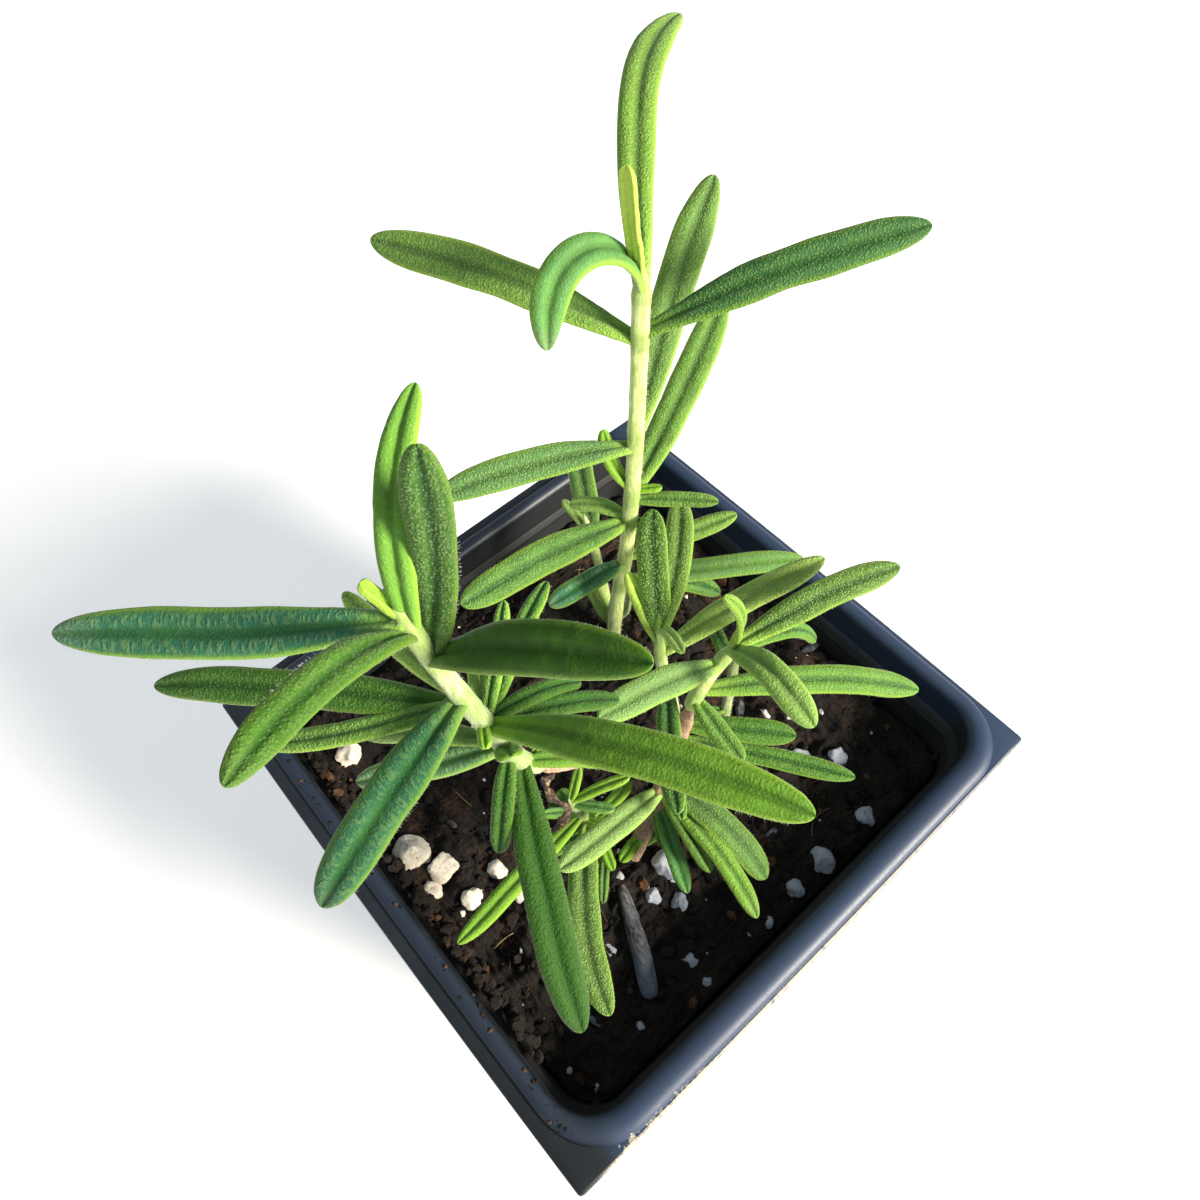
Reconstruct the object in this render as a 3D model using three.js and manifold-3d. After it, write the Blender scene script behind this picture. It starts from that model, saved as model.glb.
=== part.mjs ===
// A young rosemary plant in a square nursery pot. Millimetres, +Z up.
// The origin is the middle of the pot's underside; the corner between +X and -Y is the near one.

import * as THREE from 'three';
import { mergeVertices } from 'three/addons/utils/BufferGeometryUtils.js';
import Module from 'manifold-3d';

const wasm = await Module();
wasm.setup();

const clearance = 0.3;      // between any two pieces that touch
const weldDistance = 1e-3;
const shareTolerance = 1e-5;

// Pot
const rimWidth = 89.8;      // across the flat flange
const rimCorner = 1.2;      // radii of the corners, seen from above
const openingWidth = 80.6;  // between the beads
const openingCorner = 6.6;
const baseWidth = 64;
const baseCorner = 6;
const innerCorner = 5.6;
const flangeTop = 82;
const flangeThickness = 1.1;
const skirtHeight = 4.6;
const beadRadius = 1.4;
const beadAngles = [15, 50, 90, 130, 180];
const ledgeHeight = 76;     // stacking ledge inside the mouth
const ledgeDepth = 0.8;
const wallThickness = 1;
const floorThickness = 1.6;
const footBevel = 0.8;
const edgeBevel = 0.4;
const drainRadius = 3.2;
const drainOffset = 20;
const drainSides = 16;
const cornerSteps = 5;

// Soil: its level, and its lumps as waves, each a height, how fast it runs along X and Y, and its start.
const soilTop = 72;
const soilWaves = [[0.5, 0.21, 0.12, 1.1], [0.3, 0.53, -0.31, 0], [0.3, 0.37, 0.61, 2]];
const soilSquares = 12;
const holeHeights = [60, 66, 70, 76];   // rings of a stem's hole: the first is where the stem is cut off

// Perlite grains: place in plan and size
const grains = [
  [-28, -33.8, 4.2], [-7, -35.6, 5.2], [-2.2, -33.2, 4.4], [-0.6, -37, 3.2],
  [3.6, -27, 3.4], [4.4, -32.6, 3.6], [20.7, -7.3, 4.4], [22.6, -12, 2.7],
  [26, -9.3, 2.7], [33, -14, 2.4], [36, 21.5, 3.1], [36, 11, 4],
  [36.4, 5, 2.8], [22.5, 21, 3.5], [26.4, 25.8, 3.2], [23.5, 2.2, 4.4],
];
const grainSeed = 7;
const grainRise = 0.1;      // height of a grain's middle above the soil, as a share of its size
const grainWaist = 0.7;     // least thickness of a grain, as a share of its size
const grainBreadths = [0.8, 1.05];
const grainHeights = [0.8, 0.95];
const grainCorners = [0.92, 1.08];

// Bit of bark that lies on the soil
const barkLine = [[18.2, -14.4], [22.5, -16.4], [27.8, -19], [33.2, -22]];
const barkRadius = 1.35;
const barkRise = 0.8;
const barkKnobs = 0.12;
const barkEnd = 0.65;
const barkSteps = 6;
const barkKnobRun = 2.4;    // how far round its wave the knobs go from one ring to the next

// Stems and leaves
const stemSides = 7;
const stemStep = 5;         // distance between two rings of a stem
const budNarrowing = 0.4;
const leafThickness = 1;
const bladeSteps = 24;      // steps of the walk along a blade
const leastStations = 2;    // rings of a short unbent blade, and the length and the bend that add one
const stationLength = 14;
const stationBend = 45;
const footWidth = 0.45;     // shares of a blade's full width, and where along it they hold
const footEnd = 0.34;
const tipStart = 0.74;
const tipMiddle = 0.9;
const tipWidth = 0.32;
const rollEnd = 0.6;        // where along a blade its roll is full

// Cross-section of a blade, anticlockwise seen from the tip: shares of the half width, and heights.
// Two low crowns beside the midrib's groove, and margins rolled under.
const bladeSection = [[1, 0], [0.6, 0.45], [0, 0.16], [-0.6, 0.45], [-1, 0], [-0.76, -0.5], [0.76, -0.5]];

// The plant. A line is a stem's centre line from the root or the fork up, and its radii are those at
// its two ends. A row of leaves is one leaf: height of its foot on the stem, compass turn and rise of
// its foot, length, width, fall of its rise by the tip, swing of its turn by the tip, and where it has
// one its roll about its own line, in millimetres and degrees.

// Shoots that stand in the soil by themselves
const rootedShoots = {
  tall: {
    radii: [1.15, 1],
    line: [[-11.6, 9.4, 60], [-11.2, 9.8, 71], [-9.9, 10.8, 95], [-9.1, 12, 107], [-8.6, 13, 121],
      [-8, 13.9, 147], [-8, 14.2, 156]],
    leaves: [
      [153.4, 142, 41, 36.4, 4, 50, -34], [154, 280, 78, 13.9, 2, -8, 0],
      [153, 250, 78, 21.2, 3.6, 155, 66, -30], [146.6, 210, 21, 31.5, 4.4, 21, -4, -45],
      [147.5, 62, 21, 32, 4.2, 19, 3, 45], [132.2, 119, 38, 30.4, 4.6, 1, -11, 15],
      [129.8, 244, 9, 25, 4, 21, 1, -40],
      [120.8, 107, 26, 28.7, 4.4, 3, 9, 20], [121, 222, 62, 12, 2, -22, 0, -55],
      [115.5, 208, 15, 9, 2.1, 38, 5, -35], [119, 40, 16, 11.5, 2, 17, 0, 40],
      [114.8, 264, 16, 26.5, 4.5, 15, 2, -35], [105, 269, 16, 14, 3.1, 8, 0, -30],
      [106, 61, 18, 17, 2.9, 4, 4, 35], [100, 50, 12, 27, 3.3, 7, 0, 35], [99, 66, -14, 21, 3.1, 40, 0, 40],
    ],
  },
  back: {
    radii: [0.95, 0.7],
    line: [[-15, 14, 60], [-16, 14.5, 71], [-19, 15.6, 81], [-23, 16.8, 91], [-25, 17, 96]],
    leaves: [
      [91, 148, 18, 18, 4.4, 23, -2], [92.5, 185, 39, 7, 1.8, 15, 0],
      [74, 206, 77, 12, 3, 9, 0, -45], [73, 8, 76, 17, 3.8, -8, 0, -55],
    ],
  },
  side: {
    radii: [0.9, 0.7],
    line: [[11.2, 14.6, 60], [10.7, 15.1, 71], [10, 16, 84], [9, 17.5, 96]],
    leaves: [[96, 68, 18, 6, 2.4, 16, 0], [80, 248, 18, 9, 2.2, 16, 0], [90, 160, 30, 9, 2.4, 20, 0]],
  },
  low: {
    radii: [0.8, 0.7],
    line: [[12.6, -11.6, 60], [12.7, -12.1, 71], [11.5, -13, 79], [9.5, -14, 86], [8.5, -15, 92]],
    leaves: [
      [85.7, 277, 7, 24.5, 3, 8, -2], [83.2, 315, 25, 29, 4.4, 19, 32],
      [86.5, 188, 30, 4.5, 2.3, 15, 0], [80, 157, 7, 6, 3, 17, 0], [82, 90, 33, 9, 2.1, 17, 0],
      [87, 241, 29, 5.5, 1.8, 15, 0], [81.6, 254, -11, 7.6, 2.7, 16, 0], [85, 210, 10, 5.5, 1.8, 15, 0],
      [77, 300, -11, 7, 1.8, 15, 0], [78, 340, 0, 5.5, 1.8, 15, 0], [90, 36, 24, 6.4, 1.8, 15, 0],
      [91, 60, 38, 10, 1.8, 15, 0], [91, 112, 68, 6.9, 1.5, 15, 0], [82, 241, 22, 4, 1.9, 15, 0],
      [84.5, 17, 28, 4.4, 1.9, 15, 0], [74, 316, 4, 8.8, 1.6, 15, 0],
    ],
  },
};

// Limbs of the one woody stem: below woodTop a limb is wood, above it a green shoot of its own.
const limbs = {
  right: {
    woodTop: 103,
    woodRadii: [1.3, 1.05],
    radii: [1, 0.85],
    line: [[16.3, -10.8, 60], [16, -10, 71], [15.4, -4.5, 85], [13.4, 1, 95], [13, 4.6, 105],
      [13.8, 7, 111.5], [15, 9, 117]],
    woodLeaves: [
      [98.5, 43, 4, 15.5, 3.5, 13, 0, 25], [96, 35, 2, 24.5, 2.9, 8, 0, 25],
      [93, 28, 5, 19.5, 2.5, 12, 0, 20],
      [87.5, 272, 20, 20, 4.1, 7, -3], [87.5, 350, -1, 13.5, 2.8, 18, -3], [87.5, 0, 5, 22.3, 3.1, 31, -16],
      [88.7, 14, 2, 20.5, 4.4, 40, -21], [85, 338, -12, 13.5, 2.6, 16, 0], [84.4, 330, -18, 6.2, 1.8, 15, 0],
      [75, 75, 31, 5, 2.2, 15, 0], [78, 280, 8, 5.5, 2.1, 15, 0], [91, 328, 18, 8.4, 2.4, 15, 0],
    ],
    leaves: [
      [116.5, 77, 10, 25, 3.8, 25, -2, 25],
      [114.1, 252, 111, 15.2, 1.8, 54, -8, -50], [114, 76, 7, 18, 2.2, 72, -11, 30],
      [115.1, -10, 53, 16.8, 3.7, 82, 11, 25], [112, 263, 30, 20, 4, 15, 4, -25],
      [106, 56, 1, 32.5, 3.9, 29, -5, 25], [104.5, 349, -5, 10.5, 3.1, 2, 7],
    ],
  },
  left: {
    woodTop: 123,
    woodRadii: [1.15, 1.1],
    radii: [1.05, 0.8],
    line: [[13.5, 0.5, 94], [11.9, -4.9, 99.3], [11.5, -11.2, 107.7], [12.5, -18.4, 119.3],
      [12.6, -21.8, 126], [11.4, -23, 132], [10.6, -24.4, 141], [8.6, -25.5, 150], [7.4, -26, 156]],
    woodLeaves: [[118, 305, -55, 15, 2, 25, 25]],   // the one dead leaf, hanging dry
    leaves: [
      [154, 210, 64, 5, 1.4, 13, 0], [149, 186, 77, 7, 1.4, 14, 0], [151.9, 138, 86, 22, 2.9, 72, -17],
      [148, 95, 73, 24, 3.7, -12, 0, 50], [154, 228, -10, 28.8, 4.2, -17, 4, -30],
      [151.8, 297, 56, 24, 3, 39, 4, -45],
      [148.5, 29, 44, 23, 4.2, 26, -3, 35], [142, 201, 39, 14, 2.2, -4, -12],
      [139.5, 219, 0, 33.5, 3.7, 14, 3, -25], [142.2, 279, -18, 24.3, 4.7, 25, -8, -25],
      [141, 237, -15, 20.5, 2.4, -6, -9], [135.5, 25, 36, 33, 4.2, 38, 0, 20],
      [136, 144, 26, 8, 2.4, 17, 0], [136, 86, 2, 12, 2.2, 46, -7], [135, 71, 0, 14.5, 2.4, 37, -6],
      [135.5, 122, 12, 18, 2.2, 32, -2], [135.5, 123, 51, 12.5, 1.8, 12, 0],
      [131, 215, -8, 17.5, 2.5, 23, 4, -25], [130, 232, -24, 19, 3.1, 2, -5, -25],
      [130, 342, 58, 5, 2.8, 10, 0],
      [129, 308, -32, 11.5, 2.5, 22, 0], [126.5, 329, -20, 29, 4.3, 20, 11],
      [126, 61, -16, 10.5, 2.2, 31, -3],
    ],
  },
  middle: {
    woodTop: 98,
    woodRadii: [1, 1],
    radii: [1, 0.8],
    line: [[13.5, 1, 95], [9.5, 3.5, 99.5], [5.8, 5, 104], [4.2, 6, 109]],
    woodLeaves: [],
    leaves: [
      [107, 145, 45, 18, 4.2, 16, -11], [108.5, 121, 25, 20, 3.9, 19, 24], [107, 167, 40, 10.5, 2.6, 15, 0],
      [107.5, 345, 88, 11, 1.8, 80, -4], [101.3, 317, 15, 20, 3.4, 10, 10],
      [105.2, 68, 36, 25.4, 3.2, 24, 4, 10],
    ],
  },
};

function finish(colour, roughness) {
  return new THREE.MeshStandardMaterial({ color: colour, roughness, metalness: 0 });
}

const finishes = {
  pot: finish(0x1b2026, 0.42),
  soil: finish(0x1d1611, 0.95),
  wood: finish(0xb99a7c, 0.75),
  leaf: finish(0x5d9436, 0.6),
  bark: finish(0x5a463a, 0.9),
  perlite: finish(0xd9d8d2, 0.9),
};

// A closed skin over rings of equal count, each anticlockwise seen from where the rings go.
function skin(rings) {
  const count = rings[0].length;
  const vertices = rings.flat().concat([middleOf(rings[0]), middleOf(rings.at(-1))]);
  const firstMiddle = vertices.length - 2;
  const lastMiddle = vertices.length - 1;
  const lastRing = (rings.length - 1) * count;
  const triangles = [];
  for (let i = 0; i < count; i++) {
    const next = (i + 1) % count;
    for (let ring = 0; ring < lastRing; ring += count) {
      triangles.push(ring + i, ring + next, ring + count + next);
      triangles.push(ring + i, ring + count + next, ring + count + i);
    }
    triangles.push(firstMiddle, next, i);
    triangles.push(lastMiddle, lastRing + i, lastRing + next);
  }
  const geometry = new THREE.BufferGeometry().setFromPoints(vertices);
  geometry.setIndex(triangles);
  return toSolid(geometry);
}

function middleOf(ring) {
  const sum = ring.reduce((total, point) => total.add(point), new THREE.Vector3());
  return sum.divideScalar(ring.length);
}

// The same shape with one vertex at each corner, which a solid needs.
function weld(geometry) {
  geometry.deleteAttribute('normal');
  geometry.deleteAttribute('uv');
  return mergeVertices(geometry, weldDistance);
}

function toSolid(geometry) {
  return new wasm.Manifold(new wasm.Mesh({
    numProp: 3,
    vertProperties: new Float32Array(geometry.attributes.position.array),
    triVerts: new Uint32Array(geometry.index.array),
  }));
}

function fromSolid(solid) {
  const mesh = solid.getMesh();
  const geometry = new THREE.BufferGeometry();
  geometry.setAttribute('position', new THREE.BufferAttribute(new Float32Array(mesh.vertProperties), 3));
  geometry.setIndex(new THREE.BufferAttribute(new Uint32Array(mesh.triVerts), 1));
  geometry.computeVertexNormals();
  return geometry;
}

// The same run of numbers between 0 and 1 each time, by a Lehmer generator.
function seededRandom(seed) {
  const modulus = 2147483647;
  let state = seed;
  return () => {
    state = (state * 16807) % modulus;
    return state / modulus;
  };
}

function between([low, high], random) {
  return low + (high - low) * random();
}

// A square with round corners, anticlockwise from above.
function roundedSquare(half, corner, z) {
  const points = [];
  for (let quarter = 0; quarter < 4; quarter++) {
    const x = (half - corner) * (quarter === 0 || quarter === 3 ? 1 : -1);
    const y = (half - corner) * (quarter < 2 ? 1 : -1);
    for (let step = 0; step <= cornerSteps; step++) {
      const angle = (quarter + step / cornerSteps) * Math.PI / 2;
      points.push(new THREE.Vector3(x + corner * Math.cos(angle), y + corner * Math.sin(angle), z));
    }
  }
  return points;
}

// Outline of the space inside the pot's tapering wall, inset by a distance.
function innerRing(z, inset) {
  const low = baseWidth / 2 - wallThickness;
  const high = openingWidth / 2 - ledgeDepth;
  const half = THREE.MathUtils.mapLinear(z, floorThickness, ledgeHeight, low, high);
  return roundedSquare(half - inset, innerCorner - inset, z);
}

// The bead is a half round that stands on the flange and follows the opening.
function beadRings() {
  return beadAngles.map((degrees) => {
    const angle = THREE.MathUtils.degToRad(degrees);
    const offset = beadRadius * (1 + Math.cos(angle));
    const z = flangeTop - edgeBevel + beadRadius * Math.sin(angle);
    return roundedSquare(openingWidth / 2 + offset, openingCorner + offset, z);
  });
}

// One thin shell: up the outside, round the flange and its skirt, over the bead and down the inside.
function makePot() {
  const rim = rimWidth / 2;
  const mouth = openingWidth / 2;
  const neck = mouth + wallThickness;
  const underFlange = flangeTop - flangeThickness;
  const skirtBottom = flangeTop - skirtHeight;
  let pot = skin([
    roundedSquare(baseWidth / 2 - footBevel, baseCorner - footBevel, 0),
    roundedSquare(baseWidth / 2, baseCorner, footBevel),
    roundedSquare(neck - ledgeDepth, openingCorner, ledgeHeight - wallThickness),
    roundedSquare(neck, openingCorner + wallThickness, ledgeHeight),
    roundedSquare(neck, openingCorner + wallThickness, underFlange),
    roundedSquare(rim - wallThickness, rimCorner, underFlange),
    roundedSquare(rim - wallThickness, rimCorner, skirtBottom),
    roundedSquare(rim, rimCorner, skirtBottom),
    roundedSquare(rim, rimCorner, flangeTop - edgeBevel),
    roundedSquare(rim - edgeBevel, rimCorner, flangeTop),
    ...beadRings(),
    roundedSquare(mouth, openingCorner, ledgeHeight + ledgeDepth),
    innerRing(ledgeHeight, 0),
    innerRing(floorThickness + footBevel, 0),
    innerRing(floorThickness, footBevel),
  ]);
  for (const x of [-drainOffset, drainOffset]) {
    for (const y of [-drainOffset, drainOffset]) {
      pot = pot.subtract(drainHole(x, y));
    }
  }
  return pot;
}

function drainHole(x, y) {
  const geometry = new THREE.CylinderGeometry(drainRadius, drainRadius, 4 * floorThickness, drainSides);
  return toSolid(weld(geometry.rotateX(Math.PI / 2).translate(x, y, 0)));
}

function soilHeight(x, y) {
  const lumps = soilWaves.map(([size, runX, runY, start]) => size * Math.sin(runX * x + runY * y + start));
  return lumps.reduce((height, lump) => height + lump, soilTop);
}

// The soil fills the pot, clear of its wall, up to a lumpy top.
function makeSoil() {
  const slab = new THREE.BoxGeometry(rimWidth, rimWidth, soilTop, soilSquares, soilSquares, 1);
  slab.translate(0, 0, soilTop / 2);
  const points = slab.attributes.position;
  for (let i = 0; i < points.count; i++) {
    if (points.getZ(i) > soilTop / 2) {
      points.setZ(i, soilHeight(points.getX(i), points.getY(i)));
    }
  }
  const bottom = floorThickness + clearance;
  const filling = skin([
    innerRing(bottom, footBevel + clearance),
    innerRing(bottom + footBevel, clearance),
    innerRing(ledgeHeight, clearance),
  ]);
  return filling.intersect(toSolid(weld(slab)));
}

function curveThrough(points) {
  return new THREE.CatmullRomCurve3(points.map(([x, y, z]) => new THREE.Vector3(x, y, z)));
}

// How far along a rising curve a height is reached, as a share of its length, by halving.
function shareAt(curve, z) {
  let low = 0;
  let high = 1;
  while (high - low > shareTolerance) {
    const half = (low + high) / 2;
    if (curve.getPointAt(half).z < z) {
      low = half;
    } else {
      high = half;
    }
  }
  return low;
}

// A round ring across a curve.
function ringAcross(curve, share, radius) {
  const centre = curve.getPointAt(share);
  const along = curve.getTangentAt(share);
  const right = new THREE.Vector3(1, 0, 0).addScaledVector(along, -along.x).normalize();
  const up = new THREE.Vector3().crossVectors(along, right);
  const ring = [];
  for (let side = 0; side < stemSides; side++) {
    const angle = 2 * Math.PI * side / stemSides;
    ring.push(centre.clone()
      .addScaledVector(right, radius * Math.cos(angle))
      .addScaledVector(up, radius * Math.sin(angle)));
  }
  return ring;
}

// A stretch of stem that tapers evenly; a stem that ends in a bud narrows at its last ring.
function makeStem(curve, from, to, [lowRadius, topRadius]) {
  const steps = Math.max(2, Math.round((to - from) * curve.getLength() / stemStep));
  const rings = [];
  for (let step = 0; step <= steps; step++) {
    const way = step / steps;
    const share = from + (to - from) * way;
    const radius = lowRadius + (topRadius - lowRadius) * way;
    rings.push(ringAcross(curve, share, share === 1 ? radius * budNarrowing : radius));
  }
  return skin(rings);
}

// Width of a blade along its length, as a share: a narrow foot, even sides and a blunt round tip.
function bladeWidth(way) {
  const foot = footWidth + (1 - footWidth) * THREE.MathUtils.smoothstep(way, 0, footEnd);
  const tip = (1 - tipWidth ** 2) * (Math.max(0, way - tipStart) / (1 - tipStart)) ** 2;
  return foot * Math.sqrt(1 - tip);
}

// Shares of the length where a blade has a ring: more on a long or much-bent one, and two for its tip.
function bladeStations(length, fall) {
  const count = Math.round(leastStations + length / stationLength + Math.abs(fall) / stationBend);
  const stations = [];
  for (let i = 0; i <= count; i++) {
    stations.push(tipStart * i / count);
  }
  return stations.concat([tipMiddle, 1]);
}

// A leaf grows from the middle of its stem, in short steps. Its rise falls in a smooth step, its turn
// swings with the square of the way along, and its blade rolls about that line in a smooth step.
function makeLeaf(curve, [height, turn, rise, length, width, fall, swing, roll = 0]) {
  const ringSteps = bladeStations(length, fall).map((station) => Math.round(station * bladeSteps));
  const point = curve.getPointAt(shareAt(curve, height));
  const rings = [];
  for (let step = 0; step <= bladeSteps; step++) {
    const way = step / bladeSteps;
    const heading = THREE.MathUtils.degToRad(turn + swing * way * way);
    const climb = THREE.MathUtils.degToRad(rise - fall * THREE.MathUtils.smoothstep(way, 0, 1));
    const along = new THREE.Vector3(
      Math.cos(climb) * Math.cos(heading), Math.cos(climb) * Math.sin(heading), Math.sin(climb));
    const lean = THREE.MathUtils.degToRad(roll) * THREE.MathUtils.smoothstep(way, 0, rollEnd);
    const across = new THREE.Vector3(-Math.sin(heading), Math.cos(heading), 0).applyAxisAngle(along, lean);
    const up = new THREE.Vector3().crossVectors(along, across);
    if (ringSteps.includes(step)) {
      const halfWidth = bladeWidth(way) * width / 2;
      rings.push(bladeSection.map(([share, lift]) => point.clone()
        .addScaledVector(across, share * halfWidth)
        .addScaledVector(up, lift * leafThickness)));
    }
    point.addScaledVector(along, length / bladeSteps);
  }
  return skin(rings);
}

function makeShoot(curve, from, radii, leaves) {
  const blades = leaves.map((row) => makeLeaf(curve, row));
  return blades.reduce((whole, blade) => whole.add(blade), makeStem(curve, from, 1, radii));
}

// The wood of every limb with the leaves on it, up to where the limbs turn green.
function makeWoodyStem() {
  const pieces = Object.values(limbs).flatMap((limb) => {
    const curve = curveThrough(limb.line);
    const wood = makeStem(curve, 0, shareAt(curve, limb.woodTop), limb.woodRadii);
    return [wood, ...limb.woodLeaves.map((row) => makeLeaf(curve, row))];
  });
  return pieces.reduce((whole, piece) => whole.add(piece));
}

// The green part of a limb starts just past the end of its wood.
function makeLimbShoot(limb) {
  const curve = curveThrough(limb.line);
  const from = shareAt(curve, limb.woodTop) + clearance / curve.getLength();
  return makeShoot(curve, from, limb.radii, limb.leaves);
}

// A plain hole in the soil round a stem, from just under its cut end to above the soil.
function stemHole(line, radius) {
  const curve = curveThrough(line);
  const rings = holeHeights.map(
    (z) => ringAcross(curve, shareAt(curve, z), radius + 1.5 * clearance));
  rings[0] = rings[0].map((point) => point.setZ(point.z - 2 * clearance));
  return skin(rings);
}

// An uneven lump: a 12-sided ball, squashed, with each of its corners pushed in or out.
function makeGrain([x, y, size], random) {
  const geometry = weld(new THREE.DodecahedronGeometry(size / 2));
  const points = geometry.attributes.position;
  const squash = new THREE.Vector3(1, between(grainBreadths, random), between(grainHeights, random));
  for (let i = 0; i < points.count; i++) {
    const point = new THREE.Vector3().fromBufferAttribute(points, i);
    point.multiply(squash).multiplyScalar(between(grainCorners, random));
    points.setXYZ(i, point.x, point.y, point.z);
  }
  return { geometry, size, centre: [x, y, soilHeight(x, y) + grainRise * size] };
}

// A grain, or the larger shape of the seat that it lies in.
function grainSolid({ geometry, size, centre }, spare = 0) {
  const scale = 1 + 2 * spare / (grainWaist * size);
  return toSolid(geometry.clone().scale(scale, scale, scale).translate(...centre));
}

// The bit of bark: a rough tube that lies on the soil, or the larger shape of its seat.
function makeBark(spare = 0) {
  const curve = curveThrough(barkLine.map(([x, y]) => [x, y, soilHeight(x, y) + barkRise]));
  const rings = [];
  for (let step = 0; step <= barkSteps; step++) {
    const isEnd = step === 0 || step === barkSteps;
    const swell = isEnd ? barkEnd : 1 + barkKnobs * Math.sin(barkKnobRun * step);
    const ring = ringAcross(curve, step / barkSteps, barkRadius * swell + spare);
    const outwards = curve.getTangentAt(step / barkSteps).multiplyScalar(step === 0 ? -spare : spare);
    rings.push(isEnd ? ring.map((point) => point.add(outwards)) : ring);
  }
  return skin(rings);
}

const random = seededRandom(grainSeed);
const grainList = grains.map((row) => makeGrain(row, random));

// What is cut out of the soil: the stems' holes, and the seats of the grains and the bark.
const cuts = [
  ...Object.values(rootedShoots).map(({ line, radii }) => stemHole(line, radii[0])),
  stemHole(limbs.right.line, limbs.right.woodRadii[0]),
  ...grainList.map((grain) => grainSolid(grain, clearance)),
  makeBark(clearance),
];

const group = new THREE.Group();

function addMesh(name, solid, material) {
  const mesh = new THREE.Mesh(fromSolid(solid), material);
  mesh.name = name;
  group.add(mesh);
}

addMesh('pot', makePot(), finishes.pot);
addMesh('soil', cuts.reduce((soil, cut) => soil.subtract(cut), makeSoil()), finishes.soil);
addMesh('woody_stem', makeWoodyStem(), finishes.wood);
for (const [name, { line, radii, leaves }] of Object.entries(rootedShoots)) {
  addMesh(`${name}_shoot`, makeShoot(curveThrough(line), 0, radii, leaves), finishes.leaf);
}
for (const [name, limb] of Object.entries(limbs)) {
  addMesh(`${name}_shoot`, makeLimbShoot(limb), finishes.leaf);
}
addMesh('bark_bit', makeBark(), finishes.bark);
grainList.forEach((grain, i) => addMesh(`perlite_grain_${i + 1}`, grainSolid(grain), finishes.perlite));

export default group;
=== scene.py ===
import bpy
import numpy as np
from mathutils import Matrix


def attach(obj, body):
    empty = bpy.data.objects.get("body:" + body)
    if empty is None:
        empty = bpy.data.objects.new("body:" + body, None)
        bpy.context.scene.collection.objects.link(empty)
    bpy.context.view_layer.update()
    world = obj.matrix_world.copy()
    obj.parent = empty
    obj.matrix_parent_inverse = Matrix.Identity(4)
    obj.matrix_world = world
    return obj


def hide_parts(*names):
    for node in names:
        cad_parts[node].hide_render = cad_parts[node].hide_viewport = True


# A young rosemary plant in a square nursery pot. Lengths are in millimetres, +Z up, and become metres
# where a mesh is made. The origin is the middle of the pot's underside.

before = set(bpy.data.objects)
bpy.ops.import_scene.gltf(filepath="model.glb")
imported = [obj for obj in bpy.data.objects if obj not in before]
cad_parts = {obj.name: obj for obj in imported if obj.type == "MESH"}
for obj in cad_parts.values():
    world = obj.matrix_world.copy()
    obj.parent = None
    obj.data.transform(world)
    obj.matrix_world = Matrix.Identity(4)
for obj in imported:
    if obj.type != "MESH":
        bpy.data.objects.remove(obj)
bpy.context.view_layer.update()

mm = 0.001
fullTurn = 2 * np.pi


# Rises from 0 to 1 between low and high, level at both ends.
def smoothStep(values, low, high):
    share = np.clip((values - low) / (high - low), 0, 1)
    return share * share * (3 - 2 * share)


# A bell of height 1 round the middle.
def bell(values, middle, spread):
    return np.exp(-((values - middle) / spread) ** 2)


# A value as far from the first of two values to the second as the share says.
def between(ends, share):
    return ends[0] + (ends[1] - ends[0]) * share


# Arrows of length 1: each divided by its own length.
def unit(vectors):
    return vectors / np.maximum(np.linalg.norm(vectors, axis=-1, keepdims=True), 1e-9)


# Separate coordinates put side by side, each stretched to the same grid.
def joined(*parts):
    return np.stack(np.broadcast_arrays(*parts), axis=-1)


# A steady random value from 0 to 1 for each corner of a lattice: what a large sine has after its point.
def cornerValue(cells, seed):
    spread = cells @ np.array([127.1, 311.7, 74.7]) + 53.3 * seed
    large = 43758.5453 * np.sin(spread)
    return large - np.floor(large)


# Smooth noise from -1 to 1: the corner values of each point's cell, blended by smooth steps.
def noiseAt(points, cell, seed):
    place = points / cell
    base = np.floor(place)
    share = place - base
    share = share * share * (3 - 2 * share)
    total = 0
    for corner in np.ndindex(2, 2, 2):
        weight = np.prod(np.where(corner, share, 1 - share), axis=-1)
        total = total + weight * cornerValue(base + np.array(corner), seed)
    return 2 * total - 1


# A shape is its points, its faces of three or four corners, and marks: three numbers a point, which
# the materials read.
def makeShape(points, faces, **marks):
    return {"points": points.reshape(-1, 3), "faces": faces,
            "marks": {name: mark.reshape(-1, 3) for name, mark in marks.items()}}


# Many shapes as one: each one's corner numbers go up by the count of the points before it.
def mergeShapes(shapes):
    starts = np.cumsum([0] + [len(shape["points"]) for shape in shapes])
    faces = [side + start for shape, start in zip(shapes, starts) for side in shape["faces"]]
    marks = {name: np.concatenate([shape["marks"][name] for shape in shapes])
             for name in shapes[0]["marks"]}
    return makeShape(np.concatenate([shape["points"] for shape in shapes]), faces, **marks)


# A closed skin over rings of equal count, each anticlockwise seen from where the rings go: four-sided
# faces between neighbouring rings and a fan to the middle of the first ring and of the last.
def skinOver(rings, **marks):
    count, around = rings.shape[:2]
    index = np.arange(count * around).reshape(count, around)
    following = np.roll(index, -1, axis=1)
    sides = np.stack([index[:-1], following[:-1], following[1:], index[1:]], axis=-1).reshape(-1, 4)
    pole = np.full(around, count * around)
    fans = np.concatenate([np.stack([pole, following[0], index[0]], axis=-1),
                           np.stack([pole + 1, index[-1], following[-1]], axis=-1)])

    # The grid as a list, with the middles of its first and last rings at the end.
    def closed(grid):
        return np.concatenate([grid.reshape(-1, 3), grid[[0, -1]].mean(axis=1)])

    return makeShape(closed(rings), [sides, fans],
                     **{name: closed(np.broadcast_to(mark, rings.shape)) for name, mark in marks.items()})


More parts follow.
